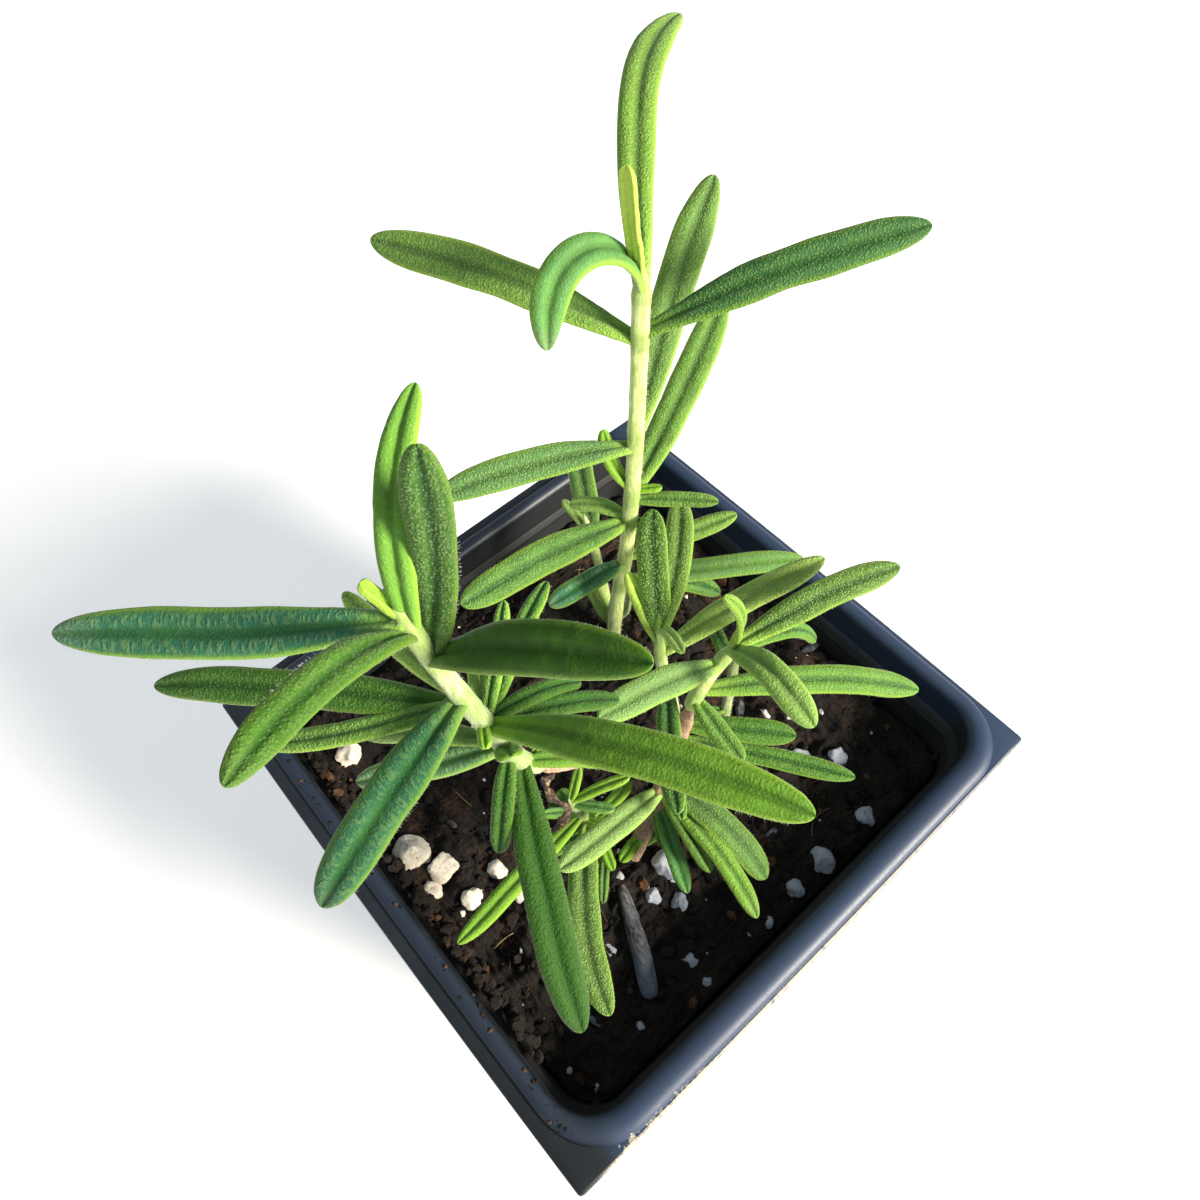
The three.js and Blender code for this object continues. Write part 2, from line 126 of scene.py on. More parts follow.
# Puts a shape into a piece that rides with the plant, stands for CAD nodes and wears one material.
def addPiece(name, shape, material, nodes, creaseAngle=None):
    mesh = bpy.data.meshes.new(name)
    corners = np.concatenate([side.ravel() for side in shape["faces"]])
    sizes = np.concatenate([np.full(len(side), side.shape[1]) for side in shape["faces"]])
    mesh.vertices.add(len(shape["points"]))
    mesh.vertices.foreach_set("co", (shape["points"] * mm).astype(np.float32).ravel())
    mesh.loops.add(len(corners))
    mesh.loops.foreach_set("vertex_index", corners.astype(np.int32))
    mesh.polygons.add(len(sizes))
    mesh.polygons.foreach_set("loop_start", (np.cumsum(sizes) - sizes).astype(np.int32))
    mesh.polygons.foreach_set("use_smooth", np.ones(len(sizes), bool))
    mesh.update(calc_edges=True)
    if creaseAngle:
        mesh.set_sharp_from_angle(angle=creaseAngle)
    for markName, mark in shape["marks"].items():
        attribute = mesh.attributes.new(markName, "FLOAT_VECTOR", "POINT")
        attribute.data.foreach_set("vector", mark.astype(np.float32).ravel())
    mesh.materials.append(material)
    piece = bpy.data.objects.new(name, mesh)
    bpy.context.scene.collection.objects.link(piece)
    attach(piece, "root")
    if nodes:
        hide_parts(*nodes)
    return piece


# A colour as a shader takes it, from the way it is written on the web.
def paint(code):
    parts = np.array([int(code[i:i + 2], 16) for i in (0, 2, 4)]) / 255
    linear = np.where(parts <= 0.04045, parts / 12.92, ((parts + 0.055) / 1.055) ** 2.4)
    return (*linear.tolist(), 1.0)


# One output of a node. Arithmetic on it adds Math nodes.
class Wire:
    def __init__(self, finish, node, output):
        self.finish = finish
        self.node = node
        self.socket = node.outputs[output]

    # Another output of the same node.
    def of(self, output):
        return Wire(self.finish, self.node, output)

    def math(self, operation, first, second):
        return self.finish.add("ShaderNodeMath", {"operation": operation}, {0: first, 1: second})

    def __add__(self, other):
        return self.math("ADD", self, other)

    __radd__ = __add__

    def __sub__(self, other):
        return self.math("SUBTRACT", self, other)

    def __rsub__(self, other):
        return self.math("SUBTRACT", other, self)

    def __mul__(self, other):
        return self.math("MULTIPLY", self, other)

    __rmul__ = __mul__

    def __abs__(self):
        return self.math("ABSOLUTE", self, 0.0)

    # Rises from 0 to 1 while this value goes from low to high.
    def step(self, low, high):
        return self.finish.add("ShaderNodeMapRange", {"interpolation_type": "SMOOTHSTEP"},
                               {"Value": self, "From Min": low, "From Max": high})

    # This colour under a share of another.
    def under(self, colour, share):
        return self.finish.blend(self, colour, share)


# A material and its named paints. Its nodes come from add, which takes a node's type, its settings and
# its inputs. An input that is a word is the paint of that name.
class Finish:
    def __init__(self, name, paints):
        self.paints = paints
        self.material = bpy.data.materials.new(name)
        self.material.use_nodes = True
        self.tree = self.material.node_tree
        self.shader = self.tree.nodes["Principled BSDF"]
        self.coords = self.add("ShaderNodeTexCoord", {}, {}, "Object")

    def add(self, kind, settings, inputs, output=0):
        node = self.tree.nodes.new(kind)
        for name, value in settings.items():
            setattr(node, name, value)
        for name, value in inputs.items():
            self.feed(node.inputs[name], value)
        return Wire(self, node, output)

    # A wire is linked, a word is painted and a number is set.
    def feed(self, socket, value):
        if isinstance(value, Wire):
            self.tree.links.new(value.socket, socket)
        elif isinstance(value, str):
            socket.default_value = paint(self.paints[value])
        else:
            socket.default_value = value

    # Where a point is, in millimetres.
    def place(self):
        parts = self.add("ShaderNodeSeparateXYZ", {}, {0: self.coords})
        return [parts.of(axis) * (1 / mm) for axis in range(3)]

    # The three numbers of a mark.
    def mark(self, name):
        attribute = self.add("ShaderNodeAttribute", {"attribute_name": name}, {}, "Vector")
        parts = self.add("ShaderNodeSeparateXYZ", {}, {0: attribute})
        return parts, parts.of(1), parts.of(2)

    # Soft noise with features of a size in millimetres.
    def noise(self, size, detail=2.0, rough=0.5, coords=None):
        return self.add("ShaderNodeTexNoise", {}, {"Vector": coords or self.coords, "Scale": 1 / (size * mm),
                                                   "Detail": detail, "Roughness": rough})

    # The distance from the middles of cells of a size in millimetres.
    def cells(self, size):
        return self.add("ShaderNodeTexVoronoi", {}, {"Vector": self.coords, "Scale": 1 / (size * mm)})

    # Coordinates in which a pattern is longer along an axis the smaller its scale.
    def stretch(self, *scales):
        return self.add("ShaderNodeMapping", {}, {"Vector": self.coords, "Scale": scales})

    # The first colour at share 0, the second one at 1.
    def blend(self, first, second, share):
        return self.add("ShaderNodeMix", {"data_type": "RGBA"}, {0: share, 6: first, 7: second}, 2)

    # Relief that is as deep, in millimetres, where the height is 1.
    def bump(self, height, depth, strength=1.0):
        return self.add("ShaderNodeBump", {},
                        {"Height": height, "Distance": depth * mm, "Strength": strength})

    # Feeds the surface and hands out the material.
    def done(self, inputs):
        for name, value in inputs.items():
            self.feed(self.shader.inputs[name], value)
        return self.material


# The camera stands where it sees the pot's four rim corners as the photograph does. Its axes are arrows
# of length 1: right and down in the picture, and forward.
view = {
    "place": (46.94, -36.44, 216.23),
    "right": (0.65976, 0.75045, -0.0393),
    "down": (0.62852, -0.57972, -0.51855),
    "forward": (-0.41192, 0.31742, -0.85415),
    "lens": 27.68,
    "sensor": 36,
    "nearest": 5,
}


# The camera's matrix has its three axes as columns, with down and forward turned round, and its place.
def addCamera():
    data = bpy.data.cameras.new("camera")
    data.sensor_width = view["sensor"]
    data.lens = view["lens"]
    data.clip_start = view["nearest"] * mm
    camera = bpy.data.objects.new("camera", data)
    axes = np.array([view["right"], [-v for v in view["down"]], [-v for v in view["forward"]]]).T
    placing = np.eye(4)
    placing[:3, :3] = axes
    placing[:3, 3] = np.array(view["place"]) * mm
    camera.matrix_world = Matrix(placing.tolist())
    bpy.context.scene.collection.objects.link(camera)
    bpy.context.scene.camera = camera


studio = {
    "keyPlace": (900, 330, 600),        # low on the plant's right, as the daylight was
    "keyAim": (0, 0, 90),
    "keySize": 0.30,                    # metres across
    "keyPower": 26,
    "keyColour": (1.0, 0.93, 0.80),
    "skyColour": (0.74, 0.87, 1.0, 1.0),
    "skyPower": 0.38,
    "floorSize": 3.0,                   # metres
    "floorDrop": 0.2,
    "floorGlow": 0.5,
    "floorPaints": {"warm": "f6f5f2", "cool": "f1f0ee"},
}


# A round lamp that looks at its aim: one axis points back from there, one is level and square to it, and
# the third is square to both. The sky is one even colour.
def addLight():
    data = bpy.data.lights.new("key", "AREA")
    data.shape = "DISK"
    data.size = studio["keySize"]
    data.energy = studio["keyPower"]
    data.color = studio["keyColour"]
    key = bpy.data.objects.new("key", data)
    place = np.array(studio["keyPlace"], float)
    back = unit(place - np.array(studio["keyAim"]))
    side = unit(np.cross([0, 0, 1], back))
    placing = np.eye(4)
    placing[:3, :3] = np.array([side, np.cross(back, side), back]).T
    placing[:3, 3] = place * mm
    key.matrix_world = Matrix(placing.tolist())
    bpy.context.scene.collection.objects.link(key)
    world = bpy.data.worlds.new("sky")
    world.use_nodes = True
    world.node_tree.nodes["Background"].inputs["Color"].default_value = studio["skyColour"]
    world.node_tree.nodes["Background"].inputs["Strength"].default_value = studio["skyPower"]
    bpy.context.scene.world = world
    bpy.context.scene.view_settings.view_transform = "Standard"


# The floor: a pale square a little below the pot, which glows so that it stays nearly white.
def addFloor():
    half = studio["floorSize"] / 2
    drop = -studio["floorDrop"] * mm
    mesh = bpy.data.meshes.new("floor")
    mesh.from_pydata([(-half, -half, drop), (half, -half, drop), (half, half, drop), (-half, half, drop)],
                     [], [(0, 1, 2, 3)])
    finish = Finish("floorFinish", studio["floorPaints"])
    tone = finish.blend("warm", "cool", finish.noise(120))
    mesh.materials.append(finish.done({"Base Color": tone, "Roughness": 0.8, "Emission Color": tone,
                                       "Emission Strength": studio["floorGlow"]}))
    floor = bpy.data.objects.new("floor", mesh)
    bpy.context.scene.collection.objects.link(floor)


addCamera()
addLight()
addFloor()
print("camera, light and floor")


pot = {
    "rimWidth": 89.8, "rimCorner": 0.6, "openingWidth": 80.6, "openingCorner": 6.6,
    "baseWidth": 64, "baseCorner": 6, "innerCorner": 5.6,
    "flangeTop": 82, "flangeThickness": 1.1, "skirtHeight": 4.6, "beadRadius": 1.4,
    "ledgeHeight": 76, "ledgeDepth": 0.8, "wall": 1, "floor": 1.6, "footBevel": 0.8, "edgeBevel": 0.4,
    "drainRadius": 3.2, "drainOffset": 20, "drainSides": 48, "drainHeights": (-3.0, 6.0),
    "cornerSteps": 14, "sideSteps": 40, "beadSteps": 14, "creaseAngle": 0.6,
    "wave": 0.05, "waveLength": 17, "waveSeed": 3, "bow": 0.4, "bowWays": (0.7, 0.9), "beadStart": 0.26,
    "beadSpread": 1.3, "beadShift": 1.0,
    "paints": {"dark": "171d24", "light": "20282f", "blue": "334360", "bead": "263246", "corner": "0b0f14",
               "inside": "1d1f21", "ledge": "08090a", "dust": "857763", "dustAndHighlight": "b9ae9b",
               "farEdge": "a39c8e"},
}


# Squares with round corners, anticlockwise from above: quarter circles at the four corners, and even
# steps along the sides between them. Half widths, corner radii and heights are arrays of one a ring.
def roundedSquares(halves, corners, heights, cornerSteps=pot["cornerSteps"], sideSteps=pot["sideSteps"]):
    halves, corners, heights = np.broadcast_arrays(*[np.asarray(values, float)
                                                     for values in (halves, corners, heights)])
    angles = np.arange(4)[:, None] * np.pi / 2 + np.linspace(0, np.pi / 2, cornerSteps + 1)
    signX = np.array([1, -1, -1, 1])[:, None]
    signY = np.array([1, 1, -1, -1])[:, None]
    span = (halves - corners)[:, None, None]
    turned = np.stack([span * signX + corners[:, None, None] * np.cos(angles),
                       span * signY + corners[:, None, None] * np.sin(angles)], axis=-1)
    share = (np.arange(1, sideSteps) / sideSteps)[:, None]
    last = turned[:, :, -1:]
    straight = last + (np.roll(turned[:, :, :1], -1, axis=1) - last) * share
    outline = np.concatenate([turned, straight], axis=2).reshape(len(halves), -1, 2)
    level = np.broadcast_to(heights[:, None, None], outline.shape[:2] + (1,))
    return np.concatenate([outline, level], axis=-1)


# Half width of the space inside the tapering wall at a height: even growth from the floor to the ledge.
def innerHalf(z):
    low = pot["baseWidth"] / 2 - pot["wall"]
    high = pot["openingWidth"] / 2 - pot["ledgeDepth"]
    return low + (high - low) * (z - pot["floor"]) / (pot["ledgeHeight"] - pot["floor"])


# The pot's profile, carried round the square: up the outside, round the flange and its skirt, over the
# half-round bead, down the inside to the floor. Each point of it is a half width, a corner radius and a
# height. The rim's sides bow outwards by one minus the square of the way to the corner. On the near
# right side the bead spreads out, and on the far right side bead and mouth sit further out.
def potShape():
    rim = pot["rimWidth"] / 2
    mouth = pot["openingWidth"] / 2
    neck = mouth + pot["wall"]
    base = pot["baseWidth"] / 2
    under = pot["flangeTop"] - pot["flangeThickness"]
    skirt = pot["flangeTop"] - pot["skirtHeight"]
    top = pot["flangeTop"]
    bevel = pot["footBevel"]
    edge = pot["edgeBevel"]
    ledge = pot["ledgeHeight"]
    wall = pot["wall"]
    floorTop = pot["floor"]
    low, sharp, wide = [pot[name] for name in ("baseCorner", "rimCorner", "openingCorner")]
    tight = pot["innerCorner"]
    outer = [
        (base - bevel, low - bevel, 0), (base - 0.3 * bevel, low - 0.3 * bevel, 0.3), (base, low, bevel),
        (neck - pot["ledgeDepth"], wide, ledge - wall), (neck, wide + wall, ledge),
        (neck, wide + wall, under), (rim - wall, sharp, under), (rim - wall, sharp, skirt),
        (rim - 0.2, sharp, skirt),
        (rim, sharp, skirt + 0.2), (rim, sharp, top - edge), (rim - 0.3 * edge, sharp, top - 0.3 * edge),
        (rim - edge, sharp, top),
    ]
    angles = np.linspace(pot["beadStart"], np.pi, pot["beadSteps"])
    offsets = pot["beadRadius"] * (1 + np.cos(angles))
    bead = joined(mouth + offsets, wide + offsets, top - edge + pot["beadRadius"] * np.sin(angles))
    inner = [
        (mouth, wide, ledge + pot["ledgeDepth"]), (innerHalf(ledge), tight, ledge),
        (innerHalf(floorTop + bevel), tight, floorTop + bevel),
        (innerHalf(floorTop) - bevel, tight - bevel, floorTop),
    ]
    profile = np.concatenate([outer, bead, inner])
    rings = roundedSquares(*profile.T)
    x, y, z = rings[..., 0], rings[..., 1], rings[..., 2]
    upper = smoothStep(z, ledge - 4, ledge + 2)
    isMouth = np.zeros((len(rings), 1))
    isMouth[len(outer):len(outer) + len(bead) + 1] = 1
    outwards = np.zeros((len(rings), 1))
    outwards[len(outer):len(outer) + len(bead), 0] = offsets / offsets.max()
    lean = pot["beadSpread"] * outwards * smoothStep(x, 0.5 * mouth, mouth)
    shift = pot["beadShift"] * isMouth * smoothStep(y, 0.5 * mouth, mouth)
    bows = [pot["bow"] * upper * (1 - (aside / rim) ** 2) * np.sign(out)
            * smoothStep(np.abs(out) / rim, *pot["bowWays"]) for out, aside in ((x, y), (y, x))]
    sway = pot["wave"] * upper * (noiseAt(rings * [1, 1, 0], pot["waveLength"], pot["waveSeed"]) - 1)
    return skinOver(joined(x + bows[0] + lean, y + bows[1] + shift, z + sway))


# The four drain holes, cut out of the floor by a cylinder each.
def cutDrains(piece):
    angles = np.linspace(0, fullTurn, pot["drainSides"], endpoint=False)
    circle = joined(pot["drainRadius"] * np.cos(angles), pot["drainRadius"] * np.sin(angles), 0.0)
    rings = circle + np.array(pot["drainHeights"])[:, None, None] * [0, 0, 1]
    plugs = [skinOver(rings + [x, y, 0]) for x in (-pot["drainOffset"], pot["drainOffset"])
             for y in (-pot["drainOffset"], pot["drainOffset"])]
    cutter = addPiece("cutter", mergeShapes(plugs), piece.data.materials[0], [])
    modifier = piece.modifiers.new("drains", "BOOLEAN")
    modifier.operation = "DIFFERENCE"
    modifier.solver = "EXACT"
    modifier.object = cutter
    drilled = bpy.data.meshes.new_from_object(piece.evaluated_get(bpy.context.evaluated_depsgraph_get()))
    piece.modifiers.clear()
    piece.data = drilled
    piece.data.set_sharp_from_angle(angle=pot["creaseAngle"])
    bpy.data.objects.remove(cutter)


# Dark plastic that clouds to a lighter grey. Each further colour lies where steps of the place or the
# noise say.
def potFinish():
    finish = Finish("potFinish", pot["paints"])
    x, y, z = finish.place()
    out = x.math("MAXIMUM", abs(x), abs(y))
    normal = finish.add("ShaderNodeNewGeometry", {}, {}, "Normal")
    flat = finish.add("ShaderNodeSeparateXYZ", {}, {0: normal}, 2).step(0.6, 0.95)
    rough = finish.noise(0.25, 4, 0.6)
    cloud = finish.noise(9, 4, 0.65)
    smear = finish.noise(1.3, 4, 0.7)
    bead = z.step(82, 82.8)
    tone = finish.blend("dark", "light", cloud.step(0.35, 0.7))
    # Painted sky reflection: blue on the two sides to the right, and bluish grey on the bead's crest
    # elsewhere.
    right = (x.step(36, 44) * y.step(-41, -36) + y.step(36, 44)).step(0, 1)
    tone = tone.under("blue", right * 0.85)
    tone = tone.under("bead", bead * 0.6 * (1 - right))
    # Painted shade: near black on the near left side towards the near corner, off the bead.
    nearLeft = x.step(-5, 40) * (1 - y.step(-41.5, -38))
    tone = tone.under("corner", nearLeft * (1 - bead) * 0.7)
    # Inside it is dull black, and the ledge is painted blacker still, as shade over the light it catches.
    inside = (1 - out.step(40, 42)) * (1 - z.step(81.2, 82))
    ledge = z.step(75.2, 75.7) * (1 - z.step(76.8, 77.6))
    tone = tone.under("inside", inside).under("ledge", inside * ledge * 0.8)
    # Dust lies in thin patches on what faces up.
    dust = finish.noise(0.45, 5, 0.7).step(0.6, 0.76) * cloud.step(0.5, 0.68) * flat
    tone = tone.under("dust", dust * (0.2 + bead * 0.5))
    # The near right edge is pale with dust and a painted sunlit highlight, widest by the near corner.
    lip = z.step(80.6, 81.4)
    corner = y.step(-40.5, -37.5) * (1 - y.step(-35, -20))
    reach = x + (rough - 0.5) * 0.6 + corner * smear.step(0.45, 0.75) * 1.6
    edge = reach.step(44.6, 45) * lip * y.step(-42.5, -39.5)
    tone = tone.under("dustAndHighlight", edge * (1 - y.step(-38, 30) * 0.5) * smear.step(0.25, 0.5))
    # The far right edge is pale here and there.
    tone = tone.under("farEdge", y.step(44.8, 45.2) * lip * smear.step(0.4, 0.6) * 0.7)
    height = rough * 0.5 + smear * 0.6 + dust
    return finish.done({"Base Color": tone, "Roughness": 0.36 + rough * 0.19 + dust * 0.3 + inside * 0.25,
                        "Normal": finish.bump(height, 0.05, 0.45), "Specular IOR Level": 0.6})


potPiece = addPiece("pot_shell", potShape(), potFinish(), ["pot"])
cutDrains(potPiece)
print("pot")


soil = {
    "top": 72, "clearance": 0.3,
    "waves": [[0.5, 0.21, 0.12, 1.1], [0.3, 0.53, -0.31, 0], [0.3, 0.37, 0.61, 2]],
    "rings": 150, "cornerSteps": 14, "sideSteps": 76, "smallest": 0.004,
    "shoulder": 3, "dip": 0.6, "dipReach": 0.02,
    "lumps": [[4.2, 1.3], [1.9, 1.3], [0.9, 0.7]],       # their sizes and heights
    "seed": 5,
    "paints": {"dark": "161514", "light": "2f2823", "brown": "5a3f2c"},
}


# The soil's level: the sum of three waves, each its height times the sine of how far it has run.
def soilHeight(x, y):
    return soil["top"] + sum(size * np.sin(runX * x + runY * y + start)
                             for size, runX, runY, start in soil["waves"])


# Lumps on the soil. For each size it is half less the noise's distance from its middle, which gives
# sharp crests with round hollows between them.
def soilRelief(points):
    total = 0
    for i, (size, height) in enumerate(soil["lumps"]):
        total = total + height * (0.5 - np.abs(noiseAt(points, size, soil["seed"] + i)))
    return total


# The soil's body: rings up the pot's inside, then ever smaller ones inwards over the lumpy top, which
# dips at the wall.
def soilShape():
    gap = soil["clearance"]
    low = pot["floor"] + gap
    bevel = pot["footBevel"]
    sizes = {"cornerSteps": soil["cornerSteps"], "sideSteps": soil["sideSteps"]}
    shoulder = soil["top"] - soil["shoulder"]
    sides = [(innerHalf(low) - bevel - gap, pot["innerCorner"] - bevel - gap, low),
             (innerHalf(low + bevel) - gap, pot["innerCorner"] - gap, low + bevel),
             (innerHalf(shoulder) - gap, pot["innerCorner"] - gap, shoulder)]
    shares = np.linspace(1, soil["smallest"], soil["rings"])
    half = innerHalf(soil["top"]) - gap
    body = roundedSquares(*np.transpose(sides), **sizes)
    top = roundedSquares(half * shares, (pot["innerCorner"] - gap) * shares, 0.0, **sizes)
    level = soilHeight(top[..., 0], top[..., 1]) + soilRelief(top)
    top[..., 2] = level - soil["dip"] * (1 - smoothStep(1 - shares, 0, soil["dipReach"]))[:, None]
    return skinOver(np.concatenate([body, top]))


# Brown where strands and patches meet. Towards the far left side the brown is stronger, as painted light
# where light falls on the soil.
def soilFinish():
    finish = Finish("soilFinish", soil["paints"])
    grit = finish.noise(0.32, 5, 0.7)
    strands = finish.noise(0.4, 3, 0.6, finish.stretch(1, 0.16, 1))
    # Painted light: more brown towards the far left side.
    left = 1 - finish.place()[0].step(-10, 30)
    brown = finish.noise(7.5, 4, 0.6).step(0.47, 0.66) * strands.step(0.42, 0.62)
    tone = finish.blend("dark", "light", grit.step(0.35, 0.7)).under("brown", brown * (0.35 + left * 0.65))
    height = grit * 0.6 + strands * 0.5 - finish.cells(0.9) * 0.5
    return finish.done({"Base Color": tone, "Roughness": 0.93, "Specular IOR Level": 0.3,
                        "Normal": finish.bump(height, 0.6, 1.0)})


addPiece("soil_bed", soilShape(), soilFinish(), ["soil"])
print("soil")


lump = {
    "rings": 18, "around": 26, "faces": 11, "nearest": 0.72, "farthest": 1.15, "steepest": 0.5,
    "coarse": 0.5, "fine": 0.25, "fineShare": 0.4, "noiseShift": 7.3, "crease": 0.5,
}


# A stone of rings about the Z axis. Its radius in a direction is the nearest of some random flat faces'
# distances there, plus noise, and then it is squashed by three factors.
def lumpShape(place, size, squash, rough, seed, rings=lump["rings"], around=lump["around"], turn=0.0,
              **marks):
    fall = np.linspace(np.pi, 0, rings + 2)[1:-1, None]
    angle = np.linspace(0, fullTurn, around, endpoint=False)[None, :]
    ball = joined(np.sin(fall) * np.cos(angle), np.sin(fall) * np.sin(angle), np.cos(fall))
    random = np.random.default_rng(seed)
    faces = unit(random.normal(0, 1, (lump["faces"], 3)))
    distances = random.uniform(lump["nearest"], 1, lump["faces"])
    radius = np.min(distances / np.clip(ball @ faces.T, lump["steepest"], None), axis=-1)
    shift = ball + lump["noiseShift"] * seed
    radius = np.minimum(radius, lump["farthest"]) + rough * noiseAt(shift, lump["coarse"], seed)
    radius = radius + lump["fineShare"] * rough * noiseAt(shift, lump["fine"], seed + 1)
    points = ball * radius[..., None] * squash * size / 2
    spun = joined(points[..., 0] * np.cos(turn) - points[..., 1] * np.sin(turn),
                  points[..., 0] * np.sin(turn) + points[..., 1] * np.cos(turn), points[..., 2])
    return skinOver(spun + place, **marks)


# Places that lie by a rise above the soil's level.
def onSoil(x, y, rise):
    return joined(x, y, soilHeight(x, y) + rise)


# Random places in a square round the middle, which it reaches out from to all four sides.
def scatterPlaces(count, reach, random):
    return random.uniform(-reach, reach, (count, 2))


# A grain is its place and size. A form is three squash factors and how rough it is, and a grid the
# count of rings and of points round each.
perlite = {
    "grains": [
        [-28, -33.8, 4.2], [-7, -35.6, 5.2], [-2.2, -33.2, 4.4], [-0.6, -37, 3.2],
        [3.6, -27, 3.4], [4.4, -32.6, 3.6], [20.7, -7.3, 4.4], [22.6, -12, 2.7],
        [26, -9.3, 2.7], [33, -14, 2.4], [36, 21.5, 3.1], [36, 11, 4],
        [36.4, 5, 2.8], [22.5, 21, 3.5], [26.4, 25.8, 3.2], [23.5, 2.2, 4.4],
    ],
    "small": [
        [9.2, -27, 2.1], [17.2, -13.9, 1.8], [36.8, -14.3, 2], [37, -1.9, 1.8], [13.5, 22.4, 2.3],
        [16.2, 25.1, 2], [34.8, -25.5, 1.6], [36.6, -35.2, 1.4], [24.3, -22, 2.1],
    ],
    "rise": 0.1, "form": ([1.05, 0.95, 0.9], 0.15), "seed": 21,
    "smallForm": ([1, 0.9, 0.85], 0.1), "smallGrid": (12, 16), "smallSeed": 40,
    "specks": 90, "speckSizes": (0.35, 1.1), "speckReach": 37.5, "speckRise": 0.35,
    "speckForm": ([1, 0.85, 0.8], 0.14), "speckGrid": (5, 8), "speckSeed": 60,
    "paints": {"shadow": "dccbb2", "light": "fdf3e2", "blue": "9aa9c4", "dirt": "8a705a"},
}


# Cream white with brown dirt. Bluer towards the near right side: painted shade where the pot's wall shades
# the soil.
def perliteFinish():
    finish = Finish("perliteFinish", perlite["paints"])
    pits = finish.noise(0.5, 5, 0.7)
    tone = finish.blend("shadow", "light", pits.step(0.3, 0.6))
    # Painted shade: blue towards the near right side.
    tone = tone.under("blue", finish.place()[0].step(0, 25) * 0.75)
    tone = tone.under("dirt", finish.noise(1.3, 4, 0.65).step(0.58, 0.78) * 0.7)
    return finish.done({"Base Color": tone, "Roughness": 0.9, "Specular IOR Level": 0.3,
                        "Normal": finish.bump(pits, 0.25, 0.7)})


perliteMaterial = perliteFinish()
perliteRandom = np.random.default_rng(perlite["seed"])
for number, (x, y, size) in enumerate(perlite["grains"], 1):
    grain = lumpShape(onSoil(x, y, perlite["rise"] * size), size, *perlite["form"], number,
                      turn=perliteRandom.uniform(0, 6))
    node = f"perlite_grain_{number}"
    addPiece(f"grain_{number}", grain, perliteMaterial, [node], lump["crease"])
specks = []
for i, (x, y, size) in enumerate(perlite["small"]):
    specks.append(lumpShape(onSoil(x, y, perlite["rise"] * size), size, *perlite["smallForm"],
                            perlite["smallSeed"] + i, *perlite["smallGrid"]))
for i, (x, y) in enumerate(scatterPlaces(perlite["specks"], perlite["speckReach"], perliteRandom)):
    size = perliteRandom.uniform(*perlite["speckSizes"])
    specks.append(lumpShape(onSoil(x, y, perlite["speckRise"]), size, *perlite["speckForm"],
                            perlite["speckSeed"] + i, *perlite["speckGrid"]))
addPiece("perlite_specks", mergeShapes(specks), perliteMaterial, [], lump["crease"])
print("perlite")


crumb = {
    "count": 1800, "sizes": (0.6, 2.9), "squash": (0.6, 1.0), "rough": 0.3, "reach": 38, "rise": 0.25,
    "grid": (5, 8), "seed": 9,
    "paints": {"dark": "191715", "light": "352a22", "brown": "6b4a30"},
}


# The crumbs with the highest tints are brown.
def crumbFinish():
    finish = Finish("crumbFinish", crumb["paints"])
    grain = finish.noise(0.22, 4, 0.65)
    brown = finish.mark("tint")[0].step(0.9, 0.97) * 0.8
    tone = finish.blend("dark", "light", grain.step(0.4, 0.7)).under("brown", brown)
    return finish.done({"Base Color": tone, "Roughness": 0.92, "Specular IOR Level": 0.3,
                        "Normal": finish.bump(grain, 0.2, 0.9)})


# A crumb is a stone of few faces that carries its tint.
def crumbShape(place, size, squash, rough, seed, turn, tint):
    return lumpShape(place, size, squash, rough, seed, *crumb["grid"], turn, tint=np.full(3, tint))


# Crumbs strewn over the soil. Most are small, because a size follows the cube of a random share.
def crumbShapes():
    random = np.random.default_rng(crumb["seed"])
    shapes = []
    for i, (x, y) in enumerate(scatterPlaces(crumb["count"], crumb["reach"], random)):
        size = between(crumb["sizes"], random.random() ** 3)
        squash = random.uniform(*crumb["squash"], 3)
        shapes.append(crumbShape(onSoil(x, y, crumb["rise"]), size, squash, crumb["rough"], i,
                                 turn=random.uniform(0, 6), tint=random.random()))
    return shapes


rimCrumb = {
    "count": 60, "sizes": (0.2, 0.75), "squash": [1, 0.8, 0.6], "rough": 0.2, "tints": (0.6, 1),
    "ends": (39, -36), "crowding": 1.7, "aside": 0.25, "spread": 0.75, "lowest": 0.4, "seed": 12,
    "lumpSeed": 500,
}


# Crumbs on the near left bead, most of them close to the near corner. Each one lies where the half round
# over the bead's middle line is, at its distance from that line.
def rimCrumbShapes():
    random = np.random.default_rng(rimCrumb["seed"])
    middle = pot["openingWidth"] / 2 + pot["beadRadius"]
    shapes = []
    for i in range(rimCrumb["count"]):
        x = between(rimCrumb["ends"], random.random() ** rimCrumb["crowding"])
        aside = random.normal(rimCrumb["aside"], rimCrumb["spread"])
        rise = np.sqrt(max(pot["beadRadius"] ** 2 - aside ** 2, rimCrumb["lowest"] ** 2))
        size = between(rimCrumb["sizes"], random.random() ** 2)
        shapes.append(crumbShape([x, aside - middle, pot["flangeTop"] - pot["edgeBevel"] + rise], size,
                                 rimCrumb["squash"], rimCrumb["rough"], rimCrumb["lumpSeed"] + i,
                                 tint=random.uniform(*rimCrumb["tints"]), turn=random.uniform(0, 6)))
    return shapes


wallCrumb = {
    "count": 520, "sizes": (0.5, 2.3), "squash": [1, 0.8, 0.8], "rough": 0.25, "tints": (0.35, 1),
    "ends": (-36, 30), "heights": (72, 80.6), "crowding": 1.3, "depth": 0.5, "proud": 0.3, "seed": 14,
    "lumpSeed": 700,
}


